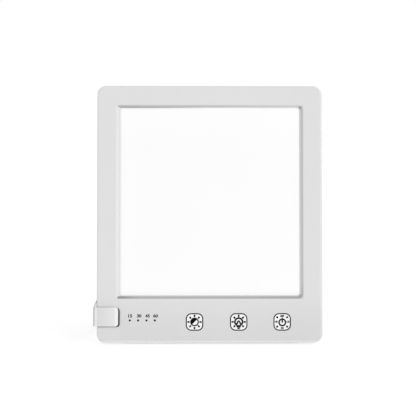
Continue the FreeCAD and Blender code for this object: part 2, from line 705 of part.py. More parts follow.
def make_control_board():
    """Cut the circuit board with its screw hole."""
    body = new_body("control_board")
    plate(body, "board", f"-{BOARD_HALF}", BOARD_HALF, BOARD_BOTTOM, BOARD_TOP,
          BOARD_FRONT, BOARD_BACK)
    drill(body, "hole", BOARD_SCREW, "board_screw_radius + hole_clearance",
          BOARD_FRONT, BOARD_BACK)
    return body


def make_board_parts():
    """Place the chips, the choke, the capacitor and the lead sockets on the board's back."""
    body = new_body("board_parts")
    blocks = [("left_socket", f"-{SOCKET_PLACE}", "socket_length", "socket_height", "socket_rise"),
              ("right_socket", SOCKET_PLACE, "socket_length", "socket_height", "socket_rise"),
              ("controller", "0", "controller_side", "controller_side", "controller_rise"),
              ("driver", "driver_place", "driver_side", "driver_side", "driver_rise"),
              ("choke", "choke_place", "choke_side", "choke_side", "choke_rise"),
              ("capacitor", "capacitor_place", "capacitor_length", "capacitor_height",
               "capacitor_rise")]
    for name, place, length, height, rise in blocks:
        plate(body, name, f"{place} - {length} / 2", f"{place} + {length} / 2",
              f"{BOARD_LEVEL} - {height} / 2", f"{BOARD_LEVEL} + {height} / 2",
              BOARD_BACK, f"{BOARD_BACK} + {rise}")
    return body


def add_centred(sketch, places, length, height):
    """Draw one rectangle round each place."""
    for x, z in places:
        add_rectangle(sketch, f"{x} - {length} / 2", f"{x} + {length} / 2",
                      f"{z} - {height} / 2", f"{z} + {height} / 2")


def make_touch_pads():
    """Fill the gap between board and face with a conductive foam block behind each key."""
    body = new_body("touch_pads")
    sketch = new_sketch(body, "foam", "across", "front_wall")
    add_centred(sketch, KEYS, "key_pad_side", "key_pad_side")
    pad(sketch, "board_standoff")
    return body


def make_timer_lenses():
    """Mould the four smoked pegs that show the chosen time, flush with the face, on one bar."""
    body = new_body("timer_lenses")
    first, last = TIMER_LIGHTS[0][0], TIMER_LIGHTS[-1][0]
    plate(body, "bar", f"{first} - timer_bar_margin", f"{last} + timer_bar_margin",
          "timer_level - timer_bar_margin", "timer_level + timer_bar_margin",
          "front_wall", "front_wall + timer_bar")
    discs(body, "pegs", TIMER_LIGHTS, "timer_radius", "0", "front_wall + merge")
    return body


def make_timer_leds():
    """Set one small LED on the board behind each lens."""
    body = new_body("timer_leds")
    sketch = new_sketch(body, "chips", "across", f"{BOARD_FRONT} - timer_led_thickness")
    add_centred(sketch, TIMER_LIGHTS, "timer_led_length", "timer_led_height")
    pad(sketch, "timer_led_thickness")
    return body


def make_power_inlet():
    """Make the barrel socket on the board, with its collar flush in the back cover."""
    body = new_body("power_inlet")
    half = "inlet_body / 2"
    plate(body, "block", f"{INLET_PLACE} - {half}", f"{INLET_PLACE} + {half}",
          f"inlet_level - {half}", f"inlet_level + {half}", BOARD_BACK, COVER_INSIDE)
    centre = [(INLET_PLACE, "inlet_level")]
    discs(body, "collar", centre, "inlet_collar_radius", COVER_INSIDE, "panel_depth")
    drill(body, "socket", centre, "inlet_bore_radius", INLET_BOTTOM, "panel_depth")
    discs(body, "pin", centre, "inlet_pin_radius", f"{INLET_BOTTOM} - merge",
          "panel_depth - inlet_pin_recess")
    return body


def make_screws(name, places, shank, head, start, shoulder, back):
    """Turn one screw at each place: a shank from start to shoulder, then its head."""
    body = new_body(name)
    discs(body, "shank", places, shank, start, back)
    discs(body, "head", places, head, shoulder, back)
    return body


# --------------------------------------------------------------------- the back cover

VENT_COUNT = 9


def make_back_cover():
    """Mould the rear shell with its lip, posts, pressing ribs, vents and openings."""
    body = new_body("back_cover")
    housing_outline(body, "shell", "0", "split_depth", "panel_depth")
    rear = number("panel_depth")
    round_edges(body, "rear_edge", "rear_edge_radius",
                lambda box: near(box.YMin, rear) and near(box.YMax, rear))
    bevel_seam(body)
    housing_outline(body, "lip", LIP_OUTSIDE, LIP_FRONT, "split_depth + merge")
    hooks = new_sketch(body, "hooks", "across", LIP_FRONT)
    add_hooks(hooks, "0")
    pad(hooks, "hook_thickness")
    housing_outline(body, "hollow", LIP_INSIDE, LIP_FRONT, COVER_INSIDE, cut=True)

    discs(body, "posts", POSTS, POST_RADIUS, "split_depth", COVER_INSIDE)
    drill(body, "screw_holes", POSTS, "screw_radius + hole_clearance", "split_depth",
          "panel_depth")
    drill(body, "counterbores", POSTS, "screw_head_radius + head_clearance",
          SHOULDER, "panel_depth")

    for side, sign in SIDES:
        left, right = sided(sign, "(rib_place - rib_wall / 2)", "(rib_place + rib_wall / 2)")
        plate(body, f"rib_{side}", left, right, SHEET_LOW, SHEET_HIGH, TRAY_BACK, COVER_INSIDE)
    third = f"(({SHEET_HIGH} - {SHEET_LOW}) / 3)"
    for index in (1, 2):
        level = f"({SHEET_LOW} + {index} * {third})"
        plate(body, f"rib_{index}", f"-{SHEET_HALF}", SHEET_HALF, f"{level} - rib_wall / 2",
              f"{level} + rib_wall / 2", TRAY_BACK, COVER_INSIDE)

    vent = new_sketch(body, "vent", "across", COVER_INSIDE)
    place = f"(-{VENT_COUNT // 2} * vent_pitch)"
    left, right = f"({place} - vent_width / 2)", f"({place} + vent_width / 2)"
    low, high = "(vent_level - vent_length / 2)", "(vent_level + vent_length / 2)"
    add_outline(vent, [
        (f"{left} + vent_bevel", low), (f"{right} - vent_bevel", low),
        (right, f"{low} + vent_bevel"), (right, f"{high} - vent_bevel"),
        (f"{right} - vent_bevel", high), (f"{left} + vent_bevel", high),
        (left, f"{high} - vent_bevel"), (left, f"{low} + vent_bevel")])
    repeat(pocket(vent, "shell_wall"), "X_Axis", "vent_pitch", VENT_COUNT)

    drill(body, "inlet_hole", [(INLET_PLACE, "inlet_level")],
          "inlet_collar_radius + inlet_clearance", COVER_INSIDE, "panel_depth")
    groove = new_sketch(body, "foot_groove", "flat", "-past")
    add_rectangle(groove, "-foot_half_length", "foot_half_length", FOOT_FRONT, FOOT_BACK)
    pocket(groove, "foot_recess + past")
    return body


def make_foot_strip():
    """Cut the rubber strip under the housing, with its sole level with the table."""
    body = new_body("foot_strip")
    sketch = new_sketch(body, "section", "side", "-foot_half_length")
    add_outline(sketch, [
        (FOOT_FRONT, table_height(FOOT_FRONT)), (FOOT_BACK, table_height(FOOT_BACK)),
        (FOOT_BACK, "foot_recess"), (FOOT_FRONT, "foot_recess")])
    pad(sketch, "2 * foot_half_length")
    return body


# --------------------------------------------------------------------- the stand's clip

GRIP_LEFT = f"(-{HALF} + grip_inset)"
FRONT_GRIP_LOW = "(clip_bottom - grip_drop)"
REAR_GRIP_LOW = "(clip_bottom + grip_margin)"
GRIP_HIGH = f"({CLIP_TOP} - grip_margin)"
FRONT_GRIP_RIGHT = f"(-{HALF} + tab_reach + grip_lip)"
REAR_GRIP_RIGHT = f"(-{HALF} + rear_reach - rear_grip_inset)"


def level_off(body, name, high):
    """Cut the clip's top off along the plane that is level with the table."""
    sketch = new_sketch(body, name, "side", f"{CLIP_SIDE} - past")
    front = f"({TAB_FRONT} - past)"
    rear = f"({LEG_ROOT} + past)"
    over = f"({high} + past)"
    add_outline(sketch, [(front, leg_top(front)), (rear, leg_top(rear)), (rear, over),
                         (front, over)])
    pocket(sketch, f"{CLIP_SPAN} + 2 * past")


def make_stand_clip():
    """Mould the clip that grips the left edge, with the two outer knuckles of the hinge."""
    body = new_body("stand_clip")
    inner_side = f"(-{HALF} - side_gap)"
    front_inside = f"(-{JAW_GAP})"
    rear_inside = f"(panel_depth + {JAW_GAP})"
    tab_end = f"(-{HALF} + tab_reach)"
    rear_end = f"(-{HALF} + rear_reach)"
    high = leg_top(LEG_ROOT)
    channel = new_sketch(body, "channel", "flat", "clip_bottom")
    add_outline(channel, [
        (tab_end, TAB_FRONT), (tab_end, front_inside), (inner_side, front_inside),
        (inner_side, rear_inside), (rear_end, rear_inside), (rear_end, REAR_FACE),
        (CLIP_SIDE, REAR_FACE), (CLIP_SIDE, TAB_FRONT)])
    pad(channel, f"{high} - clip_bottom")
    level_off(body, "channel_top", high)

    tab_x = number(tab_end)
    rear_x = number(rear_end)
    side_x = number(CLIP_SIDE)
    face_y = number(TAB_FRONT)
    round_edges(body, "tab_corners", "tab_corner_radius",
                lambda box: box.XLength < 0.01 and box.ZLength < 1 and box.YLength > 1
                and (near(box.XMin, tab_x) or near(box.XMin, rear_x)))
    round_edges(body, "side_edge", "clip_edge_radius",
                lambda box: near(box.XMin, side_x) and near(box.YMax, face_y)
                and box.XLength < 0.01 and box.ZLength > 1)
    round_edges(body, "tab_face", "tab_edge_radius",
                lambda box: near(box.YMin, face_y) and near(box.YMax, face_y)
                and (box.XLength > 0.1 or near(box.XMin, tab_x)))

    knuckles = new_sketch(body, "knuckles", "flat", "clip_bottom")
    add_circle(knuckles, PIN_X, PIN_Y, "knuckle_radius")
    pad(knuckles, f"{high} - clip_bottom")
    neck = new_sketch(body, "neck", "flat", "clip_bottom")
    add_rectangle(neck, CLIP_SIDE, f"{PIN_X} + knuckle_radius", f"{REAR_FACE} - merge", PIN_Y)
    pad(neck, f"{high} - clip_bottom")

    level_off(body, "knuckle_top", high)

    slot = new_sketch(body, "leg_slot", "flat", LOWER_KNUCKLE_TOP)
    add_rectangle(slot, f"{CLIP_SIDE} - past", f"{PIN_X} + knuckle_radius + past", REAR_FACE,
                  f"{PIN_Y} + knuckle_radius + past")
    pocket(slot, f"{UPPER_KNUCKLE_BOTTOM} - {LOWER_KNUCKLE_TOP}")
    bore = new_sketch(body, "pin_bore", "flat", "clip_bottom")
    add_circle(bore, PIN_X, PIN_Y, "pin_radius")
    pocket(bore, f"{high} - clip_bottom")

    front_seat = new_sketch(body, "front_grip_seat", "across",
                            "-grip_gap - grip_thickness")
    add_rectangle(front_seat, GRIP_LEFT, FRONT_GRIP_RIGHT, FRONT_GRIP_LOW, GRIP_HIGH)
    pocket(front_seat, "grip_thickness - grip_proud")
    rear_seat = new_sketch(body, "rear_grip_seat", "across", rear_inside)
    add_rectangle(rear_seat, GRIP_LEFT, REAR_GRIP_RIGHT, REAR_GRIP_LOW, GRIP_HIGH)
    pocket(rear_seat, "grip_thickness - grip_proud")
    return body


def make_grip_pad(name, right, low, front):
    """Cut one rubber pad that sits in a jaw and grips the housing."""
    body = new_body(name)
    plate(body, "pad", GRIP_LEFT, right, low, GRIP_HIGH, front,
          f"{front} + grip_thickness")
    end = number(right)
    round_edges(body, "pad_corners", "grip_corner_radius",
                lambda box: near(box.XMin, end) and box.XLength < 0.01 and box.ZLength < 0.01)
    return body


def make_hinge_pin():
    """Turn the steel pin that the leg swings on."""
    body = new_body("hinge_pin")
    sketch = new_sketch(body, "pin", "flat", "clip_bottom + pin_end_gap")
    add_circle(sketch, PIN_X, PIN_Y, "pin_radius")
    pad(sketch, "clip_height - pin_end_gap")
    return body


# ---------------------------------------------------------------------- the leg

def make_stand_leg():
    """Mould the flat leg, flaring from its knuckle to the foot pad at its far end."""
    body = new_body("stand_leg")
    seat_start = f"(({leg_bottom('0')} - {leg_seat('0')}) / ({SLOPE} + leg_drop))"
    outline = new_sketch(body, "plate", "side", CLIP_SIDE)
    add_outline(outline, [
        (LEG_ROOT, leg_bottom(LEG_ROOT)), (seat_start, leg_seat(seat_start)),
        ("leg_reach", leg_seat("leg_reach")), ("leg_reach", leg_top("leg_reach")),
        (LEG_ROOT, leg_top(LEG_ROOT))])
    pad(outline, "leg_thickness")
    far = number("leg_reach")
    root = number(LEG_ROOT)
    tip_level = number(leg_top("leg_reach"))
    round_edges(body, "tip", "leg_tip_radius",
                lambda box: box.XLength > 1 and near(box.YMin, far)
                and near(box.ZMin, tip_level))
    round_edges(body, "corners", "leg_corner_radius",
                lambda box: box.XLength > 1 and box.YLength < 0.01 and box.ZLength < 0.01
                and (near(box.YMin, far) or near(box.YMin, root)) and box.ZMin < tip_level - 1
                and (box.ZMin < number("clip_bottom") or near(box.YMin, root)))
    outer = number(CLIP_SIDE)
    bevel_edges(body, "outer_face", "leg_edge_bevel",
                lambda box: near(box.XMin, outer) and near(box.XMax, outer))

    hollow = new_sketch(body, "hollow", "side", f"{LEG_INSIDE} - leg_hollow")
    near_end = f"({LEG_ROOT} + leg_rim)"
    far_end = "(leg_reach - leg_rim)"
    add_outline(hollow, [
        (near_end, f"{leg_bottom(near_end)} + leg_rim"),
        (seat_start, f"{leg_bottom(seat_start)} + leg_rim"),
        (far_end, f"{leg_seat(far_end)} + leg_rim"),
        (far_end, f"{leg_top(far_end)} - leg_rim - leg_hollow_bevel"),
        (f"{far_end} - leg_hollow_bevel", f"{leg_top(far_end)} - leg_rim"),
        (near_end, f"{leg_top(near_end)} - leg_rim")])
    pocket(hollow, "leg_hollow")

    low = f"({LOWER_KNUCKLE_TOP} + hinge_gap)"
    high = f"({UPPER_KNUCKLE_BOTTOM} - hinge_gap)"
    neck = new_sketch(body, "neck", "flat", low)
    add_rectangle(neck, CLIP_SIDE, LEG_INSIDE, PIN_Y, f"{LEG_ROOT} + leg_rim")
    pad(neck, f"{high} - {low}")
    knuckle = new_sketch(body, "knuckle", "flat", low)
    add_circle(knuckle, PIN_X, PIN_Y, "knuckle_radius")
    pad(knuckle, f"{high} - {low}")
    bore = new_sketch(body, "bore", "flat", low)
    add_circle(bore, PIN_X, PIN_Y, "pin_radius + pin_clearance")
    pocket(bore, f"{high} - {low}")
    return body


def make_leg_foot_pad():
    """Cut the rubber pad under the leg's far end, with its sole level with the table."""
    body = new_body("leg_foot_pad")
    sketch = new_sketch(body, "section", "side", f"{CLIP_SIDE} + sole_side_gap")
    add_outline(sketch, [
        (SOLE_FRONT, table_height(SOLE_FRONT)), (SOLE_BACK, table_height(SOLE_BACK)),
        (SOLE_BACK, leg_seat(SOLE_BACK)), (SOLE_FRONT, leg_seat(SOLE_FRONT))])
    pad(sketch, "leg_thickness - 2 * sole_side_gap")
    return body


# ------------------------------------------------------------------ the whole lamp

pieces = [
    make_front_bezel(),
    make_light_seal(),
    make_sheet("diffuser", DIFFUSER_FRONT, "diffuser_thickness"),
    make_sheet("prism_film", FILM_FRONT, "film_thickness"),
    make_sheet("light_guide", GUIDE_FRONT, "guide_thickness"),
    make_sheet("reflector_sheet", REFLECTOR_FRONT, "reflector_thickness"),
    make_back_tray(),
    make_control_board(),
    make_board_parts(),
    make_touch_pads(),
    make_timer_lenses(),
    make_timer_leds(),
    make_power_inlet(),
    make_screws("board_screw", BOARD_SCREW, "board_screw_radius", "board_screw_head_radius",
                f"{BOARD_FRONT} - board_screw_reach", BOARD_BACK,
                f"{BOARD_BACK} + board_screw_head"),
    make_back_cover(),
    make_screws("cover_screws", POSTS, "screw_radius", "screw_head_radius", SCREW_TIP,
                SHOULDER, f"{SHOULDER} + screw_head"),
    make_foot_strip(),
    make_stand_clip(),
    make_grip_pad("front_grip_pad", FRONT_GRIP_RIGHT, FRONT_GRIP_LOW,
                  "(-grip_gap - grip_thickness)"),
    make_grip_pad("rear_grip_pad", REAR_GRIP_RIGHT, REAR_GRIP_LOW, "(panel_depth + grip_gap)"),
    make_hinge_pin(),
    make_stand_leg(),
    make_leg_foot_pad(),
]
for side, sign in SIDES:
    pieces.append(make_led_strip(side, sign))
    pieces.append(make_led_chips(side, sign))
    pieces.append(make_led_lead(side, sign))
doc.recompute()

# ------------------------------------------------------------- checks, then export

for item in doc.Objects:
    if {"Invalid", "Error"} & set(item.State):
        raise RuntimeError(f"{item.Label} is {item.State}")
for feature in doc.Objects:
    if feature.TypeId in ("PartDesign::Pocket", "PartDesign::SubtractiveLoft"):
        if feature.Shape.Volume > feature.BaseFeature.Shape.Volume - 1e-3:
            raise RuntimeError(f"{feature.Label} cuts nothing")
for piece in pieces:
    if piece.Shape.isNull() or not piece.Shape.isValid():
        raise RuntimeError(f"{piece.Label} has no valid shape")

os.makedirs("parts", exist_ok=True)
for piece in pieces:
    piece.Shape.exportStep(f"parts/{piece.Label}.step")
    print(f"{piece.Label}: {len(piece.Shape.Solids)} solid(s), {piece.Shape.Volume:.0f} mm3")
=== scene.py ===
"""A slim light therapy lamp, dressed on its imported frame.

The housing is an upright tablet that leans back on a rubber strip and on one folding leg, which
hangs on a clip at its left edge. A place on the housing is given across (to the right of its
middle), in height (up the face from its lower edge) and in depth (into the housing from the face).
Lengths are in metres, but places within the finishes are in millimetres.
"""

from __future__ import annotations

import logging
import math
from collections.abc import Callable, Iterator
from contextlib import contextmanager
from dataclasses import dataclass, field
from enum import Enum
from functools import partial, reduce

import bmesh
import bpy
from mathutils import Matrix, Vector

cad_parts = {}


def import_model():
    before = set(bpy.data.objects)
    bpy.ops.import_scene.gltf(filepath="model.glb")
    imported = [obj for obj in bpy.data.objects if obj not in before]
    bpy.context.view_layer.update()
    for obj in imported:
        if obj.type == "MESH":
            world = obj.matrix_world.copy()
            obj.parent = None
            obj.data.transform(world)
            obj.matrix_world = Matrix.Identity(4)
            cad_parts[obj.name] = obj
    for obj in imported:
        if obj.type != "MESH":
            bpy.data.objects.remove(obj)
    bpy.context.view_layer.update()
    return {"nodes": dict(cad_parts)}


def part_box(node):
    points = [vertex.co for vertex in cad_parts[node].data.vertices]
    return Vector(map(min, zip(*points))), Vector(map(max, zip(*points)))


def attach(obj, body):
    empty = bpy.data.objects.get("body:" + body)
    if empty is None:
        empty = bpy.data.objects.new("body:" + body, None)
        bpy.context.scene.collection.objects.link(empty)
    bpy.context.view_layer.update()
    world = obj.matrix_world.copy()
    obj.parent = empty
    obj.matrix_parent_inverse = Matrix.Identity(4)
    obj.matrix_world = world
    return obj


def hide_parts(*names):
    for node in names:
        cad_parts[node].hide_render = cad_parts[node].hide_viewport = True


LOG = logging.getLogger("lamp")
MM = 0.001

Piece = bpy.types.Object
Socket = bpy.types.NodeSocket
Material = bpy.types.Material
Colour = tuple[float, float, float]
Span = tuple[float, ...]


class Body(Enum):
    """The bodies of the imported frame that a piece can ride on."""

    PANEL = "panel"
    CLIP = "clip"
    LEG = "leg"


class Slot(Enum):
    """The material slots named for the new pieces, of which the shell's marks the pale key fields.
    """

    SHELL = "shell"
    LENS = "lens"
    SCREW = "screw"


# ---------------------------------------------------------------- shader maths


class Value:
    """A number that varies over a surface, written with ordinary arithmetic."""

    def __init__(self, graph: Graph, socket: Socket) -> None:
        """Wraps an output socket of a graph."""
        self.graph = graph
        self.socket = socket

    def __add__(self, other: Number) -> Value:
        """Adds a number or a value."""
        return self.graph.math("ADD", self, other)

    def __mul__(self, other: Number) -> Value:
        """Multiplies by a number or a value."""
        return self.graph.math("MULTIPLY", self, other)

    def __sub__(self, other: Number) -> Value:
        """Takes a number or a value away."""
        return self.graph.math("SUBTRACT", self, other)

    def __rsub__(self, other: Number) -> Value:
        """Takes the value away from a number."""
        return self.graph.math("SUBTRACT", other, self)

    def __truediv__(self, other: Number) -> Value:
        """Divides by a number or a value."""
        return self.graph.math("DIVIDE", self, other)

    def __pow__(self, other: Number) -> Value:
        """Raises to a power."""
        return self.graph.math("POWER", self, other)

    def __abs__(self) -> Value:
        """Drops the sign."""
        return self.graph.math("ABSOLUTE", self)

    __radd__ = __add__
    __rmul__ = __mul__


Number = float | Value


class Graph:
    """A node tree that is written as expressions."""

    def __init__(self, tree: bpy.types.NodeTree) -> None:
        """Empties a tree, ready for new nodes."""
        self.tree = tree
        self.tree.nodes.clear()

    def node(
        self,
        kind: str,
        settings: dict[str, object] | None = None,
        sockets: dict[str | int, object] | None = None,
    ) -> bpy.types.Node:
        """Adds one node.

        Args:
            kind: the node's type, without its ShaderNode prefix.
            settings: properties of the node, set before its sockets.
            sockets: values or links by socket name or number.

        Returns:
            The new node.
        """
        made = self.tree.nodes.new(f"ShaderNode{kind}")
        for name, value in (settings or {}).items():
            setattr(made, name, value)
        for key, value in (sockets or {}).items():
            source = value.socket if isinstance(value, Value) else value
            if isinstance(source, Socket):
                self.tree.links.new(source, made.inputs[key])
            else:
                made.inputs[key].default_value = source
        return made

    def math(self, operation: str, *terms: Number) -> Value:
        """Gives the result of a Math node whose inputs are the terms."""
        made = self.node("Math", {"operation": operation}, dict(enumerate(terms)))
        return Value(self, made.outputs[0])

    def most(self, *terms: Value) -> Value:
        """Gives the greatest of the terms."""
        return reduce(partial(self.math, "MAXIMUM"), terms)

    def rise(self, value: Value, start: float, full: float) -> Value:
        """Fades in smoothly.

        Args:
            value: the number that it depends on.
            start: where it is still 0.
            full: where it is 1, above or below the start.

        Returns:
            A share from 0 to 1.
        """
        low, high = (0.0, 1.0) if start < full else (1.0, 0.0)
        start, full = sorted((start, full))
        sockets = {
            "Value": value, "From Min": start, "From Max": full, "To Min": low, "To Max": high
        }
        made = self.node("MapRange", {"interpolation_type": "SMOOTHSTEP"}, sockets)
        return Value(self, made.outputs["Result"])

    def band(self, value: Value, low: float, high: float, soft: float) -> Value:
        """Is 1 between low and high and 0 outside, with edges that are soft wide."""
        return self.rise(value, low - soft, low) * self.rise(value, high + soft, high)

    def stripes(self, value: Value, pitch: float, share: float, soft: float = 0.1) -> Value:
        """Repeats a stripe.

        Args:
            value: the distance to repeat over.
            pitch: from one stripe to the next.
            share: the part of the pitch that a stripe covers.
            soft: the part of the pitch over which its edge fades.

        Returns:
            1 in the middle of each stripe, which lies at each multiple of the pitch, and 0 between.
        """
        off = abs(self.math("PINGPONG", abs(value) / pitch, 0.5))
        return self.rise(off, share / 2 + soft, share / 2)

    def mix(self, factor: Number, first: Colour | Socket, second: Colour | Socket) -> Socket:
        """Mixes two colours.

        Args:
            factor: how much of the second colour shows.
            first: a colour or a colour socket.
            second: a colour or a colour socket.

        Returns:
            The mixed colour.
        """
        sockets = {0: factor, 6: first, 7: second}
        for key in (6, 7):
            if isinstance(sockets[key], tuple):
                sockets[key] = (*sockets[key], 1.0)
        made = self.node("Mix", {"data_type": "RGBA"}, sockets)
        return made.outputs[2]

    def scaled(self, colour: Colour, level: Number) -> Socket:
        """Multiplies a colour by a level."""
        made = self.node("VectorMath", {"operation": "SCALE"}, {0: colour, "Scale": level})
        return made.outputs[0]


class Recipe(Graph):
    """One material, written from its object coordinates to its surface."""

    def __init__(self, name: str) -> None:
        """Starts an empty material.

        Args:
            name: its name.
        """
        self.material = bpy.data.materials.new(name)
        self.material.use_nodes = True
        super().__init__(self.material.node_tree)
        self.place = self.node("TexCoord").outputs["Object"]

    def stretched(self, turn: float, along: Span) -> Socket:
        """Turns the coordinates to lie with the housing and stretches them.

        Args:
            turn: the lean of the housing.
            along: the scale along each of its directions.

        Returns:
            The new coordinates.
        """
        place = self.place
        for key, value in (("Rotation", (turn, 0, 0)), ("Scale", along)):
            place = self.node("Mapping", sockets={0: place, key: value}).outputs[0]
        return place

    def noise(self, size: float, detail: float = 2.0, place: Socket | None = None) -> Value:
        """Adds soft noise.

        Args:
            size: how large its spots are.
            detail: how many finer layers it has.
            place: the coordinates, or none for the object's own.

        Returns:
            A value round 0.
        """
        sockets = {"Vector": place or self.place, "Scale": 1 / size, "Detail": detail}
        made = self.node("TexNoise", sockets={**sockets, "Roughness": 0.55})
        return Value(self, made.outputs[0]) - 0.5

    def cells(self, size: float) -> Value:
        """Adds cells of one size, and gives the distance from the middle of each."""
        made = self.node("TexVoronoi", sockets={"Vector": self.place, "Scale": 1 / size})
        return Value(self, made.outputs["Distance"])

    def bump(self, height: Value, depth: float) -> Socket:
        """Turns a height into relief, in which a height of 1 has the depth given."""
        made = self.node("Bump", sockets={"Strength": 1.0, "Distance": depth, "Height": height})
        return made.outputs["Normal"]

    def surface(self, **sockets: object) -> Material:
        """Closes the material with one Principled shader.

        Args:
            sockets: its sockets by name, with underscores for spaces.

        Returns:
            The finished material.
        """
        named_sockets = {name.replace("_", " "): value for name, value in sockets.items()}
        shader = self.node("BsdfPrincipled", sockets=named_sockets)
        self.node("OutputMaterial", sockets={"Surface": shader.outputs[0]})
        return self.material


# ---------------------------------------------------------------- the housing's directions


@dataclass(frozen=True)
class Place:
    """Where the points of a surface lie on the housing, in millimetres."""

    across: Value
    height: Value
    depth: Value

    @property
    def aside(self) -> Value:
        """The distance from the housing's middle to either side."""
        return abs(self.across)


@dataclass(frozen=True)
class Panel:
    """The leaning housing's own directions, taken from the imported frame."""

    lean: float
    start: Vector

    @classmethod
    def measured(cls, lean: float = math.radians(6.0)) -> Panel:
        """Finds the face's lower edge from the opal sheet, whose place in the housing is known.

        Args:
            lean: how far the housing leans back.

        Returns:
            The directions of the housing.
        """
        front, back, bottom = 2.8 * MM, 4.8 * MM, 37.3 * MM
        low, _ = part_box("diffuser")
        sine, cosine = math.sin(lean), math.cos(lean)
        y = low.y - front * cosine - bottom * sine
        z = low.z + back * sine - bottom * cosine
        return cls(lean, Vector((0, y, z)))

    def point(self, across: float, height: float, depth: float = 0.0) -> Vector:
        """Gives a place on the housing in the row frame.

        Args:
            across: how far right of the middle it lies.
            height: how far up the face.
            depth: how far behind the face.

        Returns:
            The point.
        """
        sine, cosine = math.sin(self.lean), math.cos(self.lean)
        y, z = depth * cosine + height * sine, height * cosine - depth * sine
        return self.start + Vector((across, y, z))

    def seat(self, across: float, height: float, depth: float = 0.0) -> Matrix:
        """Gives the matrix that lays a flat piece on the face, with its z towards the viewer."""
        upright = Matrix.Rotation(math.pi / 2 - self.lean, 4, "X")
        return Matrix.Translation(self.point(across, height, depth)) @ upright

    def read(self, recipe: Recipe) -> Place:
        """Reads the places on the housing from a recipe's coordinates.

        Args:
            recipe: the recipe that needs them.

        Returns:
            The places.
        """
        parts = recipe.node("SeparateXYZ", sockets={0: recipe.place})
        x, y, z = (Value(recipe, output) for output in parts.outputs)
        sine, cosine = math.sin(self.lean) / MM, math.cos(self.lean) / MM
        back, up = y - self.start.y, z - self.start.z
        return Place(x / MM, back * sine + up * cosine, back * cosine - up * sine)


# ---------------------------------------------------------------- finishes of one colour


def grey(tone: float) -> Colour:
    """Gives a neutral colour."""
    return (tone, tone, tone)


@dataclass(frozen=True)
class Patch:
    """A soft patch of a surface that is darker by an amount, or paler where it is below 0.

    It is free in a direction that it has no numbers for. Otherwise they are pairs: where it starts
    and where it is full. The tilt is what each millimetre across adds to the amount, and the cloud
    is the size of the noise that breaks it up.
    """

    amount: float
    across: Span = ()
    aside: Span = ()
    height: Span = ()
    depth: Span = ()
    tilt: float = 0.0
    cloud: float = 0.0

    def on(self, recipe: Recipe, place: Place) -> Number:
        """Lays the patch.

        Args:
            recipe: the recipe of the surface.
            place: its places on the housing.

        Returns:
            How much darker the patch makes them.
        """
        level = place.across * self.tilt + self.amount if self.tilt else self.amount
        for way in ("across", "aside", "height", "depth"):
            pairs = getattr(self, way)
            for start, full in zip(pairs[::2], pairs[1::2]):
                level = level * recipe.rise(getattr(place, way), start, full)
        return level * (recipe.noise(self.cloud, 3.0) + 0.5) if self.cloud else level


def total(patches: tuple[Patch, ...], recipe: Recipe, place: Place) -> Number:
    """Adds up how much darker some patches make the places of a recipe."""
    return sum(patch.on(recipe, place) for patch in patches)


@dataclass(frozen=True)
class Layer:
    """One layer of unevenness, with its share in the colour and in the roughness.

    It is noise, or cells where it is cellular. Its spots are where the noise starts to show and
    where it is full, and its stretch is the scale along each direction of the housing.
    """

    size: float
    detail: float = 2.0
    colour: float = 0.0
    roughness: float = 0.0
    stretch: Span = ()
    spots: Span = ()
    cellular: bool = False

    def on(self, recipe: Recipe, panel: Panel) -> Value:
        """Lays the layer.

        Args:
            recipe: the recipe of the surface.
            panel: the directions of the housing.

        Returns:
            Its height.
        """
        if self.cellular:
            return recipe.cells(self.size)
        place = recipe.stretched(panel.lean, self.stretch) if self.stretch else None
        noise = recipe.noise(self.size, self.detail, place)
        return recipe.rise(noise, *self.spots) if self.spots else noise


@dataclass(frozen=True)
class Finish:
    """What a surface is made of."""

    name: str

    def make(self, panel: Panel) -> Material:
        """Builds the material."""
        raise NotImplementedError


@dataclass(frozen=True)
class Grained(Finish):
    """One colour that layers make uneven, of which the first is also its relief."""

    colour: Colour
    roughness: float
    relief: float
    layers: tuple[Layer, ...]
    patches: tuple[Patch, ...] = ()
    gloss: float = 0.5
    metallic: float = 0.0
    glow: float = 0.0

    def toning(self, recipe: Recipe, panel: Panel) -> Number:
        """Gives the level of the colour over the piece."""
        return 1.0 - total(self.patches, recipe, panel.read(recipe)) if self.patches else 1.0

    def make(self, panel: Panel) -> Material:
        """Builds the finish from its layers and patches.

        Args:
            panel: the directions of the housing.

        Returns:
            The material.
        """
        recipe = Recipe(self.name)
        toning = self.toning(recipe, panel)
        heights = [layer.on(recipe, panel) for layer in self.layers]
        level, roughness = 1.0, self.roughness
        for layer, height in zip(self.layers, heights):
            if layer.colour:
                level = height * layer.colour + level
            if layer.roughness:
                roughness = height * layer.roughness + roughness
        lit = {}
        if self.glow:
            glowing = recipe.scaled(grey(1.0), toning * toning)
            lit = {"Emission_Color": glowing, "Emission_Strength": self.glow}
        return recipe.surface(
            Base_Color=recipe.scaled(self.colour, level * toning),
            Metallic=self.metallic,
            Roughness=roughness,
            Specular_IOR_Level=self.gloss,
            Normal=recipe.bump(heights[0], self.relief),
            **lit,
        )


def spark(size: float) -> tuple[Layer, ...]:
    """Gives the layers of moulded plastic: spark grain of one size, flow and handled sheen."""
    return Layer(size, 3.0, 0.02, 0.05), Layer(28 * MM, 2.0, 0.012), Layer(9 * MM, 4.0, 0.0, 0.09)


def skin(size: float) -> tuple[Layer, ...]:
    """Gives the layers of rubber: a matt skin with grain of one size, and dust in it."""
    return Layer(size, 4.0, 0.3, 0.1), Layer(4 * MM, 5.0, 0.35, 0.08, spots=(0.0, 0.25))


def drawn(size: float, stretch: Span = (1.0, 1.0, 1.0)) -> tuple[Layer, ...]:
    """Gives the layers of metal: lines of one size, stretched along their run, and faint stains."""
    return Layer(size, 3.0, 0.16, 0.2, stretch), Layer(6 * MM, 4.0, 0.12, 0.12)


SEAM = Patch(0.18, depth=(7.05, 7.2, 7.95, 7.8))


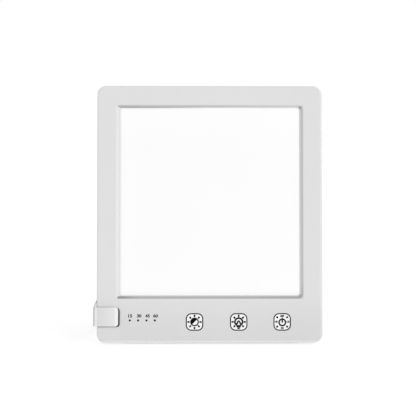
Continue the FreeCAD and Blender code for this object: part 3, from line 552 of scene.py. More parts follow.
@dataclass(frozen=True)
class Plastic(Grained):
    """White moulded plastic."""

    colour: Colour = grey(0.745)
    roughness: float = 0.46
    relief: float = 0.012 * MM
    layers: tuple[Layer, ...] = spark(0.35 * MM)


@dataclass(frozen=True)
class BezelPlastic(Plastic):
    """The bezel's plastic: painted shade on the chin and the lips round the window, painted light
    under the clip and painted highlights on its rounded edges.
    """

    patches: tuple[Patch, ...] = (
        SEAM,
        Patch(0.062, height=(48.0, 16.0)),  # painted shade, darker down the chin
        Patch(0.021, height=(24.0, 4.0)),  # more painted shade at its foot
        Patch(0.02, across=(10.0, 95.0)),  # painted shade, darker on the side away from the clip
        Patch(-0.035, across=(-76.0, -82.0), height=(0.5, 4.5, 18.0, 14.0)),  # painted light, paler under the clip where its shadow falls
        Patch(-0.05, height=(1.1, 0.4), depth=(3.5, 1.8)),  # painted highlight on the edge it stands by
    )
    # Painted highlights on the rounded edges: at the foot, the head and the left side.
    edge_highlights: tuple[Patch, ...] = (
        Patch(0.15, height=(2.2, 1.8), depth=(3.5, 1.8)),  # painted highlight, foot
        Patch(0.08, height=(224.5, 226.0), depth=(0.01, 0.12, 3.5, 1.8)),  # painted highlight, head
        Patch(0.13, across=(-97.0, -98.0), depth=(0.01, 0.12, 3.5, 1.8)),  # painted highlight, left side
    )
    # The bevel round the window, the only place where the painted lip shade shows.
    window: Patch = Patch(
        1.0, aside=(83.5, 83.4), height=(38.7, 38.9, 211.6, 211.4), depth=(0.02, 0.12, 2.5, 2.4)
    )
    # Painted shade on the lower and upper lips of the window, which varies along them; the negative
    # entries take some back.
    lip_shade: tuple[Patch, ...] = (
        Patch(0.3, across=(-82.3, -81.3), height=(41.9, 41.1)),  # lower
        Patch(0.26, across=(-82.3, -81.3, -60.0, -83.0), height=(41.9, 41.1, 39.1, 40.0)),
        Patch(0.05, across=(30.0, 70.0), height=(41.9, 41.1)),
        Patch(0.11, across=(-82.3, -81.3), height=(41.0, 39.4)),
        Patch(0.27, across=(-82.3, -81.3), height=(209.2, 209.7), tilt=-0.0021),  # upper
        Patch(
            -0.1215, across=(-82.3, -81.3, 30.0, -60.0), height=(209.2, 209.7, 210.3, 210.9),
            tilt=0.000945,
        ),
    )
    # Painted shade on the right lip, deeper towards its lower end; the negative entries take some
    # back.
    right_lip_shade: tuple[Patch, ...] = (
        Patch(0.21, across=(80.9, 81.9)),
        Patch(-0.126, across=(80.9, 81.9, 81.9, 83.0)),
        Patch(0.12, across=(80.9, 81.9), height=(60.0, 42.0)),
        Patch(-0.072, across=(80.9, 81.9, 81.9, 83.0), height=(60.0, 42.0)),
    )
    # Painted shade at the window's lower and upper right corners.
    corners: tuple[Patch, ...] = (
        Patch(0.3, across=(78.8, 79.6, 82.2, 81.4), height=(40.7, 41.2, 43.3, 42.8)),
        Patch(0.42, across=(78.8, 79.6, 82.2, 81.4), height=(207.7, 208.3, 210.8, 210.2)),
    )
    window_middle: float = 125.15
    corner_reach: Span = (164.9, 166.2)
    corner_fade: float = 0.55

    def toning(self, recipe: Recipe, panel: Panel) -> Number:
        """Paints shade on the lips, which fades past their right corners, paints highlights on the
        rounded edges, and tones all the rest.

        Args:
            recipe: the recipe of the bezel.
            panel: the directions of the housing.

        Returns:
            The level of the colour.
        """
        place = panel.read(recipe)
        reach = abs(place.height - self.window_middle) + place.across
        past = recipe.rise(reach, *self.corner_reach) * self.corner_fade
        lines = (total(patches, recipe, place) for patches in (self.lip_shade, self.right_lip_shade))
        # painted shade on the lips, fading past the right corners, and the painted corner shade
        lips = recipe.most(*lines) * (1.0 - past) + total(self.corners, recipe, place)
        # painted highlights on the rounded edges
        paler = recipe.most(*(patch.on(recipe, place) for patch in self.edge_highlights))
        darker = total(self.patches, recipe, place) + lips * self.window.on(recipe, place)
        return 1.0 - darker + paler


@dataclass(frozen=True)
class Ink(Grained):
    """Printed ink, uneven from the mesh that it was pressed through."""

    roughness: float = 0.6
    relief: float = 0.004 * MM
    layers: tuple[Layer, ...] = (Layer(0.18 * MM, 2.0, 0.1, 0.1), Layer(3 * MM, 2.0, 0.12))
    gloss: float = 0.03


@dataclass(frozen=True)
class Rubber(Grained):
    """Soft rubber."""

    roughness: float = 0.8
    relief: float = 0.03 * MM
    layers: tuple[Layer, ...] = skin(0.25 * MM)


@dataclass(frozen=True)
class Metal(Grained):
    """Bare or plated metal with the lines of its making."""

    roughness: float = 0.34
    relief: float = 0.004 * MM
    layers: tuple[Layer, ...] = drawn(0.4 * MM)
    metallic: float = 1.0


# ---------------------------------------------------------------- finishes of several colours


@dataclass(frozen=True)
class InletParts(Finish):
    """The power inlet: glossy black plastic round a turned nickel pin."""

    across: float = 50.0
    height: float = 22.0
    pin_radius: float = 1.3
    pin_edge: float = 0.15
    black: Colour = (0.014, 0.014, 0.015)
    nickel: Colour = (0.72, 0.7, 0.66)

    def make(self, panel: Panel) -> Material:
        """Builds the inlet, metal within the pin's radius.

        Args:
            panel: the directions of the housing.

        Returns:
            The material.
        """
        recipe = Recipe(self.name)
        place = panel.read(recipe)
        reach = ((place.across - self.across) ** 2.0 + (place.height - self.height) ** 2.0) ** 0.5
        pin = recipe.rise(reach, self.pin_radius + self.pin_edge, self.pin_radius)
        grain = recipe.noise(0.3 * MM, 3.0)
        black = recipe.scaled(self.black, grain * 0.4 + 1.0)
        turned = recipe.stripes(place.depth, 0.3, 0.5, 0.2) * 0.1 + 0.9
        return recipe.surface(
            Base_Color=recipe.mix(pin, black, recipe.scaled(self.nickel, turned)),
            Metallic=pin,
            Roughness=grain * 0.14 + 0.3 - pin * 0.05,
            Normal=recipe.bump(grain, 0.006 * MM),
        )


@dataclass(frozen=True)
class CircuitBoard(Finish):
    """Solder mask with copper tracks that run under it, and bare vias."""

    mask: Colour = (0.012, 0.085, 0.035)
    track: Colour = (0.03, 0.17, 0.07)
    via: Colour = (0.55, 0.5, 0.36)
    pitch: float = 1.3
    via_pitches: tuple[float, float] = (4.1, 3.7)

    def make(self, panel: Panel) -> Material:
        """Builds the board with long tracks, cross tracks and vias.

        Args:
            panel: the directions of the housing.

        Returns:
            The material.
        """
        recipe = Recipe(self.name)
        place = panel.read(recipe)
        here = recipe.rise(recipe.noise(9 * MM, 1.0), -0.01, 0.0)
        long_tracks = recipe.stripes(place.height, self.pitch, 0.34, 0.06) * here
        cross_tracks = recipe.stripes(place.across, self.pitch * 1.5, 0.22, 0.05) * (1.0 - here)
        copper = recipe.most(long_tracks, cross_tracks)
        columns, rows = (
            recipe.stripes(value, pitch, 0.12, 0.02)
            for value, pitch in zip((place.across, place.height), self.via_pitches)
        )
        vias = columns * rows
        weave = recipe.noise(0.5 * MM)
        return recipe.surface(
            Base_Color=recipe.mix(vias, recipe.mix(copper, self.mask, self.track), self.via),
            Metallic=vias * 0.8,
            Roughness=weave * 0.15 + 0.32,
            Normal=recipe.bump(copper * 0.8 + weave * 0.2, 0.03 * MM),
        )


@dataclass(frozen=True)
class BoardParts(Finish):
    """The parts on the board, each in its own colour by its place across."""

    chip: Colour = (0.015, 0.015, 0.016)
    socket: Colour = (0.72, 0.7, 0.64)
    film: Colour = (0.62, 0.36, 0.07)
    choke: Colour = (0.07, 0.07, 0.075)
    wire: Colour = (0.3, 0.13, 0.05)
    socket_aside: Span = (60.0, 60.5)
    film_across: Span = (-50.0, -38.5)
    choke_across: Span = (17.0, 27.0)

    def make(self, panel: Panel) -> Material:
        """Builds white sockets, black chips, a wound choke and a yellow film capacitor.

        Args:
            panel: the directions of the housing.

        Returns:
            The material.
        """
        recipe = Recipe(self.name)
        place = panel.read(recipe)
        grain = recipe.noise(0.2 * MM, 3.0)
        film = recipe.band(place.across, *self.film_across, 0.2)
        choke = recipe.band(place.across, *self.choke_across, 0.2)
        wound = recipe.stripes(place.depth, 0.5, 0.5, 0.2) * choke
        colour = recipe.mix(recipe.rise(place.aside, *self.socket_aside), self.chip, self.socket)
        for share, other in ((film, self.film), (choke, self.choke), (wound * 0.6, self.wire)):
            colour = recipe.mix(share, colour, other)
        return recipe.surface(
            Base_Color=colour,
            Roughness=grain * 0.2 + 0.5 - film * 0.2,
            Normal=recipe.bump(grain + wound * 0.5, 0.02 * MM),
        )


@dataclass(frozen=True)
class LedStrip(Finish):
    """White board of a LED strip, with a copper pad at each light."""

    white: Colour = (0.82, 0.82, 0.8)
    copper: Colour = (0.75, 0.5, 0.3)
    pitch: float = 9.0

    def make(self, panel: Panel) -> Material:
        """Builds the strip with its pads and its fine lacquer.

        Args:
            panel: the directions of the housing.

        Returns:
            The material.
        """
        recipe = Recipe(self.name)
        lacquer = recipe.noise(0.3 * MM)
        pads = recipe.stripes(panel.read(recipe).height + self.pitch / 2, self.pitch, 0.12, 0.01)
        return recipe.surface(
            Base_Color=recipe.mix(pads, self.white, self.copper),
            Metallic=pads * 0.9,
            Roughness=lacquer * 0.14 + 0.36,
            Normal=recipe.bump(lacquer, 0.008 * MM),
        )


@dataclass(frozen=True)
class FlatLead(Finish):
    """Flat white lead with four conductors that show through it."""

    white: Colour = (0.78, 0.78, 0.76)
    wire: Colour = (0.6, 0.55, 0.5)
    pitch: float = 0.75

    def make(self, panel: Panel) -> Material:
        """Builds the lead with its ribs.

        Args:
            panel: the directions of the housing.

        Returns:
            The material.
        """
        recipe = Recipe(self.name)
        wires = recipe.stripes(panel.read(recipe).height - self.pitch / 2, self.pitch, 0.5, 0.15)
        grain = recipe.noise(0.5 * MM)
        return recipe.surface(
            Base_Color=recipe.mix(wires * 0.6, self.white, self.wire),
            Roughness=grain * 0.12 + 0.42,
            Normal=recipe.bump(wires + grain * 0.2, 0.08 * MM),
        )


@dataclass(frozen=True)
class Phosphor(Finish):
    """Yellow phosphor of a white LED in its cream case."""

    case: Colour = (0.86, 0.8, 0.62)
    yellow: Colour = (0.84, 0.66, 0.2)

    def make(self, panel: Panel) -> Material:
        """Builds the phosphor with its grains.

        Args:
            panel: the directions of the housing.

        Returns:
            The material.
        """
        recipe = Recipe(self.name)
        grains = recipe.cells(0.12 * MM)
        pool = recipe.rise(recipe.noise(1.4 * MM, 1.0), -0.08, 0.08)
        return recipe.surface(
            Base_Color=recipe.mix(pool, self.case, self.yellow),
            Roughness=grains * 0.3 + 0.27,
            Normal=recipe.bump(grains, 0.01 * MM),
        )


@dataclass(frozen=True)
class ClearSheet(Finish):
    """Clear sheet that carries light: the guide with its dots, or the film with its ridges."""

    colour: Colour = (0.95, 0.96, 0.96)
    roughness: float = 0.08
    clear: float = 0.9
    ridges: bool = False

    def make(self, panel: Panel) -> Material:
        """Builds the sheet, with ridges up its height or dots all over its back.

        Args:
            panel: the directions of the housing.

        Returns:
            The material.
        """
        recipe = Recipe(self.name)
        place = panel.read(recipe)
        if self.ridges:
            relief, depth = recipe.stripes(place.height, 0.5, 0.5, 0.25), 0.05 * MM
        else:
            dots = partial(recipe.stripes, pitch=2.0, share=0.35, soft=0.08)
            relief, depth = dots(place.across) * dots(place.height), 0.04 * MM
        return recipe.surface(
            Base_Color=recipe.scaled(self.colour, 1.0 - relief * 0.06),
            Roughness=relief * 0.2 + recipe.noise(12 * MM, 3.0) * 0.05 + self.roughness,
            Transmission_Weight=self.clear,
            IOR=1.49,
            Normal=recipe.bump(relief, depth),
        )


# ---------------------------------------------------------------- finishes in use

COVER_PATCHES = (
    SEAM,
    Patch(0.03, aside=(42.0, 28.0), height=(184.0, 196.0, 216.0, 204.0), cloud=14 * MM),  # warm air
)
CLIP_SHADE_AND_HIGHLIGHTS = (
    Patch(0.048, depth=(1.5, 0.0)),  # painted shading on the jaw's front, paler from its side to its end
    Patch(-0.12, across=(-100.5, -81.0), depth=(1.5, 0.0)),
    Patch(-0.27, across=(-102.1, -101.4, -99.6, -100.3), depth=(1.5, 0.0)),  # painted highlight on the rounded side
    Patch(-0.14, across=(-84.2, -83.6, -81.7, -82.3), depth=(1.5, 0.0)),  # painted highlight on the rounded end
)
OPAL_LIGHT_AND_SHADOW = (
    Patch(-0.007, aside=(50.0, 78.0)),  # painted light, paler towards its sides and its ends
    Patch(-0.014, height=(75.7, 45.7)),
    Patch(-0.014, height=(175.7, 205.7)),
    Patch(0.16, across=(-77.6, -80.6)),  # painted shadow under the left lip and the upper one
    Patch(0.45, across=(10.0, -60.0), height=(208.4, 209.1)),
)
OPAL_LAYERS = (Layer(0.6 * MM, roughness=0.1, cellular=True), Layer(35 * MM, colour=0.01))
LENS_LAYERS = (Layer(0.4 * MM, 3.0, 0.5, 0.12),)
FILM_LAYERS = (Layer(0.15 * MM, 4.0, roughness=0.1), Layer(40 * MM, 1.0, colour=0.02))
FOAM_LAYERS = (Layer(0.45 * MM, colour=2.0, cellular=True), Layer(2 * MM, 3.0, 2 / 3, 0.1))

SHELL = BezelPlastic("moulded_bezel")
COVER = Plastic("moulded_cover", grey(0.72), 0.52, 0.03 * MM, spark(0.6 * MM), COVER_PATCHES)
CLIP = Plastic("moulded_clip", grey(0.745), 0.22, 0.003 * MM, spark(0.5 * MM), CLIP_SHADE_AND_HIGHLIGHTS)
LEG = Plastic("moulded_leg", grey(0.5), 0.55, 0.01 * MM, spark(0.5 * MM), gloss=0.15)
OPAL = Grained("opal_sheet", grey(0.9), 0.5, 0.01 * MM, OPAL_LAYERS, OPAL_LIGHT_AND_SHADOW, glow=0.07)
BLACK_INK = Ink("black_ink", grey(0.003))
DARK_INK = Ink("dark_grey_ink", grey(0.006))
LINE_INK = Ink("outline_ink", grey(0.012))
SMALL_INK = Ink("small_figures_ink", grey(0.006))
FIELD_INK = Ink("key_field_ink", grey(0.92), 0.42, gloss=0.5)
LENS = Grained("smoked_lens", (0.006, 0.006, 0.0065), 0.22, 0.002 * MM, LENS_LAYERS, gloss=0.08)
SCREW_ZINC = Metal("zinc_plate", (0.6, 0.61, 0.64), layers=drawn(0.25 * MM))
PIN_STEEL = Metal("drawn_steel", (0.56, 0.55, 0.54), 0.28, layers=drawn(0.4 * MM, (1.0, 1.0, 0.06)))
TRAY_METAL = Metal("rolled_aluminium", (0.8, 0.81, 0.82), layers=drawn(0.3 * MM, (0.03, 1.0, 1.0)))
FOOT_RUBBER = Rubber("pale_foot_rubber", grey(0.62), layers=skin(0.35 * MM))
GRIP_RUBBER = Rubber("grip_rubber", grey(0.03))
INLET = InletParts("inlet_plastic_and_pin")
BOARD = CircuitBoard("green_board")
PARTS = BoardParts("board_parts_mixed")
STRIP = LedStrip("white_strip")
CHIP = Phosphor("led_phosphor")
GUIDE = ClearSheet("clear_guide")
FILM = ClearSheet("prism_film", roughness=0.2, clear=0.7, ridges=True)
REFLECTOR = Grained("white_reflector", (0.93, 0.93, 0.92), 0.62, 0.006 * MM, FILM_LAYERS)
FOAM = Grained("dark_foam", grey(0.02025), 0.91, 0.12 * MM, FOAM_LAYERS)
LEAD = FlatLead("flat_lead")


# ---------------------------------------------------------------- the modelling bench


def clear_selection() -> None:
    """Leaves edit mode and deselects everything."""
    if bpy.context.object and bpy.context.object.mode != "OBJECT":
        bpy.ops.object.mode_set(mode="OBJECT")
    bpy.ops.object.select_all(action="DESELECT")


def take(*pieces: Piece) -> Piece:
    """Selects some pieces alone.

    Args:
        pieces: the pieces to work on.

    Returns:
        The first one, which is made active.
    """
    clear_selection()
    for piece in pieces:
        piece.select_set(True)
    bpy.context.view_layer.objects.active = pieces[0]
    return pieces[0]


@contextmanager
def editing(piece: Piece) -> Iterator[None]:
    """Opens a piece in edit mode with all of it selected, and closes it after.

    Args:
        piece: the piece to edit.

    Returns:
        The context in which it is open.
    """
    take(piece)
    bpy.ops.object.mode_set(mode="EDIT")
    bpy.ops.mesh.select_all(action="SELECT")
    yield
    bpy.ops.object.mode_set(mode="OBJECT")


def choose_faces(piece: Piece, wanted: Callable[[Vector, Vector], bool]) -> None:
    """Selects faces by their middle and normal, in edit mode.

    Args:
        piece: the piece that is open.
        wanted: tells from a face's middle and normal whether to select it.
    """
    bpy.ops.mesh.select_mode(type="FACE")
    bpy.ops.mesh.select_all(action="DESELECT")
    shape = bmesh.from_edit_mesh(piece.data)
    for face in shape.faces:
        face.select_set(wanted(face.calc_center_median(), face.normal))
    bmesh.update_edit_mesh(piece.data)


def named(piece: Piece, name: str) -> Piece:
    """Names a piece and its mesh."""
    piece.name = piece.data.name = name
    return piece


def settle(piece: Piece, place: Matrix) -> Piece:
    """Moves a piece to its place and leaves the place in its mesh.

    Args:
        piece: the piece to move.
        place: the move.

    Returns:
        The piece.
    """
    take(piece)
    piece.matrix_world = place @ piece.matrix_world
    bpy.ops.object.transform_apply(location=True, rotation=True, scale=True)
    return piece


def twin(piece: Piece, name: str) -> Piece:
    """Copies a piece with its own mesh.

    Args:
        piece: the piece to copy.
        name: the name of the copy.

    Returns:
        The copy.
    """
    made = piece.copy()
    made.data = piece.data.copy()
    bpy.context.scene.collection.objects.link(made)
    return named(made, name)


def joined(name: str, pieces: list[Piece]) -> Piece:
    """Joins pieces into one.

    Args:
        name: the name of the whole.
        pieces: the pieces, or a single one.

    Returns:
        The whole.
    """
    first = take(*pieces)
    if len(pieces) > 1:
        bpy.ops.object.join()
    return named(first, name)


def apply_all(piece: Piece) -> None:
    """Applies every modifier of a piece in order.

    Args:
        piece: the piece.
    """
    take(piece)
    for modifier in list(piece.modifiers):
        bpy.ops.object.modifier_apply(modifier=modifier.name)


class Flat:
    """Flat shapes round the origin, for prints. They lie in x and y and face up."""

    @staticmethod
    def plane() -> Piece:
        """Adds a square with sides of 1.

        Returns:
            The flat piece.
        """
        clear_selection()
        bpy.ops.mesh.primitive_plane_add(size=1.0)
        return bpy.context.object

    @staticmethod
    def block(width: float, height: float, corner: float) -> Piece:
        """Cuts a rectangle with round corners.

        Args:
            width: its width.
            height: its height.
            corner: the radius of its corners.

        Returns:
            The flat piece.
        """
        piece = Flat.plane()
        piece.scale = (width, height, 1.0)
        bpy.ops.object.transform_apply(location=False, rotation=False, scale=True)
        with editing(piece):
            bpy.ops.mesh.bevel(offset=corner, segments=8, affect="VERTICES")
        return piece

    @staticmethod
    def taper(wide: float, narrow: float, top: float, bottom: float) -> Piece:
        """Cuts a block that narrows downwards.

        Args:
            wide: its width at the top.
            narrow: its width at the bottom.
            top: the height of its upper edge.
            bottom: the height of its lower edge.

        Returns:
            The flat piece.
        """
        piece = Flat.plane()
        for vertex in piece.data.vertices:
            upper = vertex.co.y > 0
            vertex.co.x *= wide if upper else narrow
            vertex.co.y = top if upper else bottom
        corner = min(narrow, top - bottom) * 0.25
        with editing(piece):
            bpy.ops.mesh.bevel(offset=corner, segments=3, affect="VERTICES")
        return piece

    @staticmethod
    def disc(radius: float, sides: int = 48) -> Piece:
        """Cuts a disc.

        Args:
            radius: its radius.
            sides: the number of its sides.

        Returns:
            The flat piece.
        """
        clear_selection()
        bpy.ops.mesh.primitive_circle_add(vertices=sides, radius=radius, fill_type="NGON")
        return bpy.context.object

    @staticmethod
    def hollow(piece: Piece, stroke: float) -> Piece:
        """Leaves only a line round a flat piece.

        Args:
            piece: the flat piece.
            stroke: the width of the line.

        Returns:
            The piece.
        """
        with editing(piece):
            bpy.ops.mesh.inset(thickness=stroke)
            bpy.ops.mesh.delete(type="FACE")
        return piece

    @staticmethod
    def ring(radius: float, stroke: float, sides: int = 48) -> Piece:
        """Cuts a ring with an outer radius, a width and a number of sides."""
        return Flat.hollow(Flat.disc(radius, sides), stroke)

    @staticmethod
    def cut(piece: Piece, away: tuple[float, float], below: float = 0.0) -> Piece:
        """Cuts a flat piece along a line.

        Args:
            piece: the flat piece.
            away: points to the side that is dropped.
            below: how far the line passes below the origin.

        Returns:
            The piece.
        """
        with editing(piece):
            bpy.ops.mesh.bisect(
                plane_co=(0.0, -below, 0.0), plane_no=(*away, 0.0), clear_outer=True
            )
        return piece

    @staticmethod
    def opened(piece: Piece, half: float) -> Piece:
        """Opens a ring at its top.

        Args:
            piece: the ring.
            half: half of the gap's angle.

        Returns:
            The open ring.
        """
        with editing(piece):
            choose_faces(piece, lambda at, _: abs(math.atan2(at.x, at.y)) < half)
            bpy.ops.mesh.delete(type="FACE")
        return piece

    @staticmethod
    def word(text: str, height: float, width: float, weight: float = 0.038) -> Piece:
        """Sets digits, centred and of one height and width.

        Args:
            text: the digits.
            height: how high they are.
            width: how wide they are together.
            weight: how far their strokes are thickened, as a share of the type size.

        Returns:
            The flat piece.
        """
        clear_selection()
        bpy.ops.object.text_add()
        letters = bpy.context.object.data
        letters.body, letters.offset, letters.resolution_u = text, weight, 6
        bpy.ops.object.convert(target="MESH")
        piece = bpy.context.object
        with editing(piece):
            bpy.ops.mesh.remove_doubles(threshold=0.002)
            bpy.ops.mesh.dissolve_degenerate(threshold=0.001)
        points = [vertex.co for vertex in piece.data.vertices]
        low, high = (Vector(map(end, *points)) for end in (min, max))
        size = high - low
        grown = Matrix.Diagonal((width / size.x, height / size.y, 1.0, 1.0))
        return settle(piece, grown @ Matrix.Translation((high + low) / -2))

    @staticmethod
    def shift(piece: Piece, x: float, y: float, turn: float = 0.0) -> Piece:
        """Turns a flat piece and then moves it in its plane."""
        return settle(piece, Matrix.Translation((x, y, 0)) @ Matrix.Rotation(turn, 4, "Z"))

    @staticmethod
    def around(piece: Piece, reach: float, angles: tuple[int, ...]) -> list[Piece]:
        """Copies a flat piece round the origin, each copy pointing away from it.

        Args:
            piece: the flat piece, which is used up.
            reach: how far out the copies lie.
            angles: the angle of each, in degrees.

        Returns:
            The copies.
        """
        made = []
        for angle in angles:
            turn = math.radians(angle)
            copy = twin(piece, f"copy_{angle}")
            made.append(Flat.shift(copy, reach * math.cos(turn), reach * math.sin(turn), turn))
        bpy.data.objects.remove(piece)
        return made


@dataclass(frozen=True)
class Dresser:
    """Gives pieces and nodes their finish, and keeps one material for each finish."""

    panel: Panel
    nodes: dict[str, Piece]
    made: dict[Finish, Material] = field(default_factory=dict)

    def material(self, finish: Finish) -> Material:
        """Gives the material of a finish, made once.

        Args:
            finish: what it is made of.

        Returns:
            The material.
        """
        if finish not in self.made:
            self.made[finish] = finish.make(self.panel)
        return self.made[finish]

    def dress(self, name: str, finish: Finish) -> None:
        """Puts a finish on a node of the frame.

        Args:
            name: the node.
            finish: what it is made of.
        """
        node = self.nodes[name]
        if not node.material_slots:
            node.data.materials.append(None)
        for slot in node.material_slots:
            slot.material = self.material(finish)
        LOG.info("node %s: %s", name, finish.name)

    def add(self, piece: Piece, finish: Finish, slot: Slot, body: Body = Body.PANEL) -> None:
        """Puts a finish on a new piece and lets it ride on a body.

        Args:
            piece: the new piece.
            finish: what it is made of.
            slot: the material slot that it belongs to; it is not used.
            body: the body that carries it.
        """
        piece.data.materials.clear()
        piece.data.materials.append(self.material(finish))
        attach(piece, body.value)
        LOG.info("piece %s: %s, %d faces", piece.name, finish.name, len(piece.data.polygons))


# ---------------------------------------------------------------- sub-assemblies

Finishes = tuple[tuple[str, Finish], ...]


@dataclass
class Assembly:
    """A part of the lamp: nodes of the frame with their finishes, and pieces added to them."""

    dresser: Dresser
    finishes: Finishes = ()

    def dress(self) -> None:
        """Finishes the nodes."""
        for name, finish in self.finishes:
            self.dresser.dress(name, finish)

    def build(self) -> None:
        """Adds the new pieces, where there are any."""


@dataclass
class Housing(Assembly):
    """Bezel, back cover, the strip that it stands on and the screws at the back."""

    finishes: Finishes = (
        ("front_bezel", SHELL),
        ("back_cover", COVER),
        ("foot_strip", FOOT_RUBBER),
        ("cover_screws", SCREW_ZINC),
    )
    screw_across: float = 92.0 * MM
    screw_heights: Span = (8.0 * MM, 220.5 * MM)
    screw_turn: float = 0.4
    next_turn: float = 1.1
    head_radius: float = 2.4 * MM
    head_height: float = 1.6 * MM
    head_back: float = 14.6 * MM
    head_round: float = 0.55 * MM
    shank_radius: float = 1.38 * MM
    shank_length: float = 8.5 * MM
    thread_turns: int = 8
    thread_waist: float = 0.78
    tip_ratio: float = 0.25
    recess_width: float = 0.75 * MM
    recess_span: float = 2.7 * MM
    recess_depth: float = 1.0 * MM
    recess_over: float = 0.2 * MM
    recess_narrowing: tuple[float, float] = (0.45, 0.7)
    smooth_angle: float = math.radians(32)

    @staticmethod
    def cylinder(radius: float, length: float, top: float, sides: int) -> Piece:
        """Turns a cylinder along z.

        Args:
            radius: its radius.
            length: its length.
            top: where its upper end lies.
            sides: the number of its sides.

        Returns:
            The cylinder.
        """
        clear_selection()
        bpy.ops.mesh.primitive_cylinder_add(
            vertices=sides, radius=radius, depth=length, location=(0, 0, top - length / 2)
        )
        bpy.ops.object.transform_apply(location=True)
        return bpy.context.object

    @staticmethod
    def lengthen(length: float, ratio: float) -> None:
        """Extrudes the chosen faces down by a length and scales them by a ratio."""
        bpy.ops.mesh.extrude_region_move(TRANSFORM_OT_translate={"value": (0, 0, -length)})
        bpy.ops.transform.resize(value=(ratio, ratio, 1))

    def recess(self) -> Piece:
        """Cuts the cross that is sunk into a screw's head, narrower at its floor.

        Returns:
            The cross, which stands a little out of the head.
        """
        arms = []
        floor_span, floor_width = self.recess_narrowing
        for turn in (0.0, math.pi / 2):
            clear_selection()
            bpy.ops.mesh.primitive_cube_add(size=1.0)
            arm = bpy.context.object
            for corner in arm.data.vertices:
                deep = corner.co.z < 0
                corner.co.x *= self.recess_span * (floor_span if deep else 1.0)
                corner.co.y *= self.recess_width * (floor_width if deep else 1.0)
                corner.co.z = -self.recess_depth if deep else self.recess_over
            arms.append(settle(arm, Matrix.Rotation(turn, 4, "Z")))
        return joined("recess_cutter", arms)

    def head(self) -> Piece:
        """Turns a pan head with its top at the origin's level, and sinks a cross into it.

        Returns:
            The head, its axis along z.
        """
        head = self.cylinder(self.head_radius, self.head_height, 0.0, 40)
        with editing(head):
            choose_faces(head, lambda at, normal: normal.z > 0.9)
            bpy.ops.mesh.bevel(offset=self.head_round, segments=4, affect="EDGES")
        cutter = self.recess()
        sink = head.modifiers.new("recess", "BOOLEAN")
        sink.operation, sink.solver, sink.use_self = "DIFFERENCE", "EXACT", True
        sink.object = cutter
        apply_all(head)
        bpy.data.objects.remove(cutter)
        return head

    def shank(self) -> Piece:
        """Rolls a threaded shank that hangs below the head and ends in a point.

        Returns:
            The shank, its axis along z.
        """
        step = self.shank_length / (self.thread_turns + 2)
        shank = self.cylinder(self.shank_radius, step, -self.head_height, 20)
        with editing(shank):
            choose_faces(shank, lambda at, normal: normal.z < -0.9)
            for _ in range(self.thread_turns):
                self.lengthen(step / 2, self.thread_waist)
                self.lengthen(step / 2, 1 / self.thread_waist)
            self.lengthen(step, self.tip_ratio)
        return shank

    def build(self) -> None:
        """Sets one detailed screw in each of the cover's four bores."""
        model = joined("cover_screw_model", [self.head(), self.shank()])
        take(model)
        bpy.ops.object.shade_smooth_by_angle(angle=self.smooth_angle)
        screws = []
        for index, (side, height) in enumerate((s, h) for h in self.screw_heights for s in (-1, 1)):
            seat = self.dresser.panel.seat(side * self.screw_across, height, self.head_back)
            driven = Matrix.Rotation(self.screw_turn + self.next_turn * index, 4, "Z")
            place = seat @ Matrix.Rotation(math.pi, 4, "Y") @ driven
            screws.append(settle(twin(model, f"cover_screw_{index + 1}"), place))
        bpy.data.objects.remove(model)
        for screw in screws:
            self.dresser.add(screw, SCREW_ZINC, Slot.SCREW)
        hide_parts("cover_screws")


@dataclass
class LightStack(Assembly):
    """What stands behind the window: the opal sheet and all that feeds it light."""

    finishes: Finishes = (
        ("diffuser", OPAL),
        ("light_seal", FOAM),
        ("prism_film", FILM),
        ("light_guide", GUIDE),
        ("reflector_sheet", REFLECTOR),
        ("back_tray", TRAY_METAL),
        ("led_strip_left", STRIP),
        ("led_strip_right", STRIP),
        ("led_chips_left", CHIP),
        ("led_chips_right", CHIP),
        ("led_lead_left", LEAD),
        ("led_lead_right", LEAD),
    )


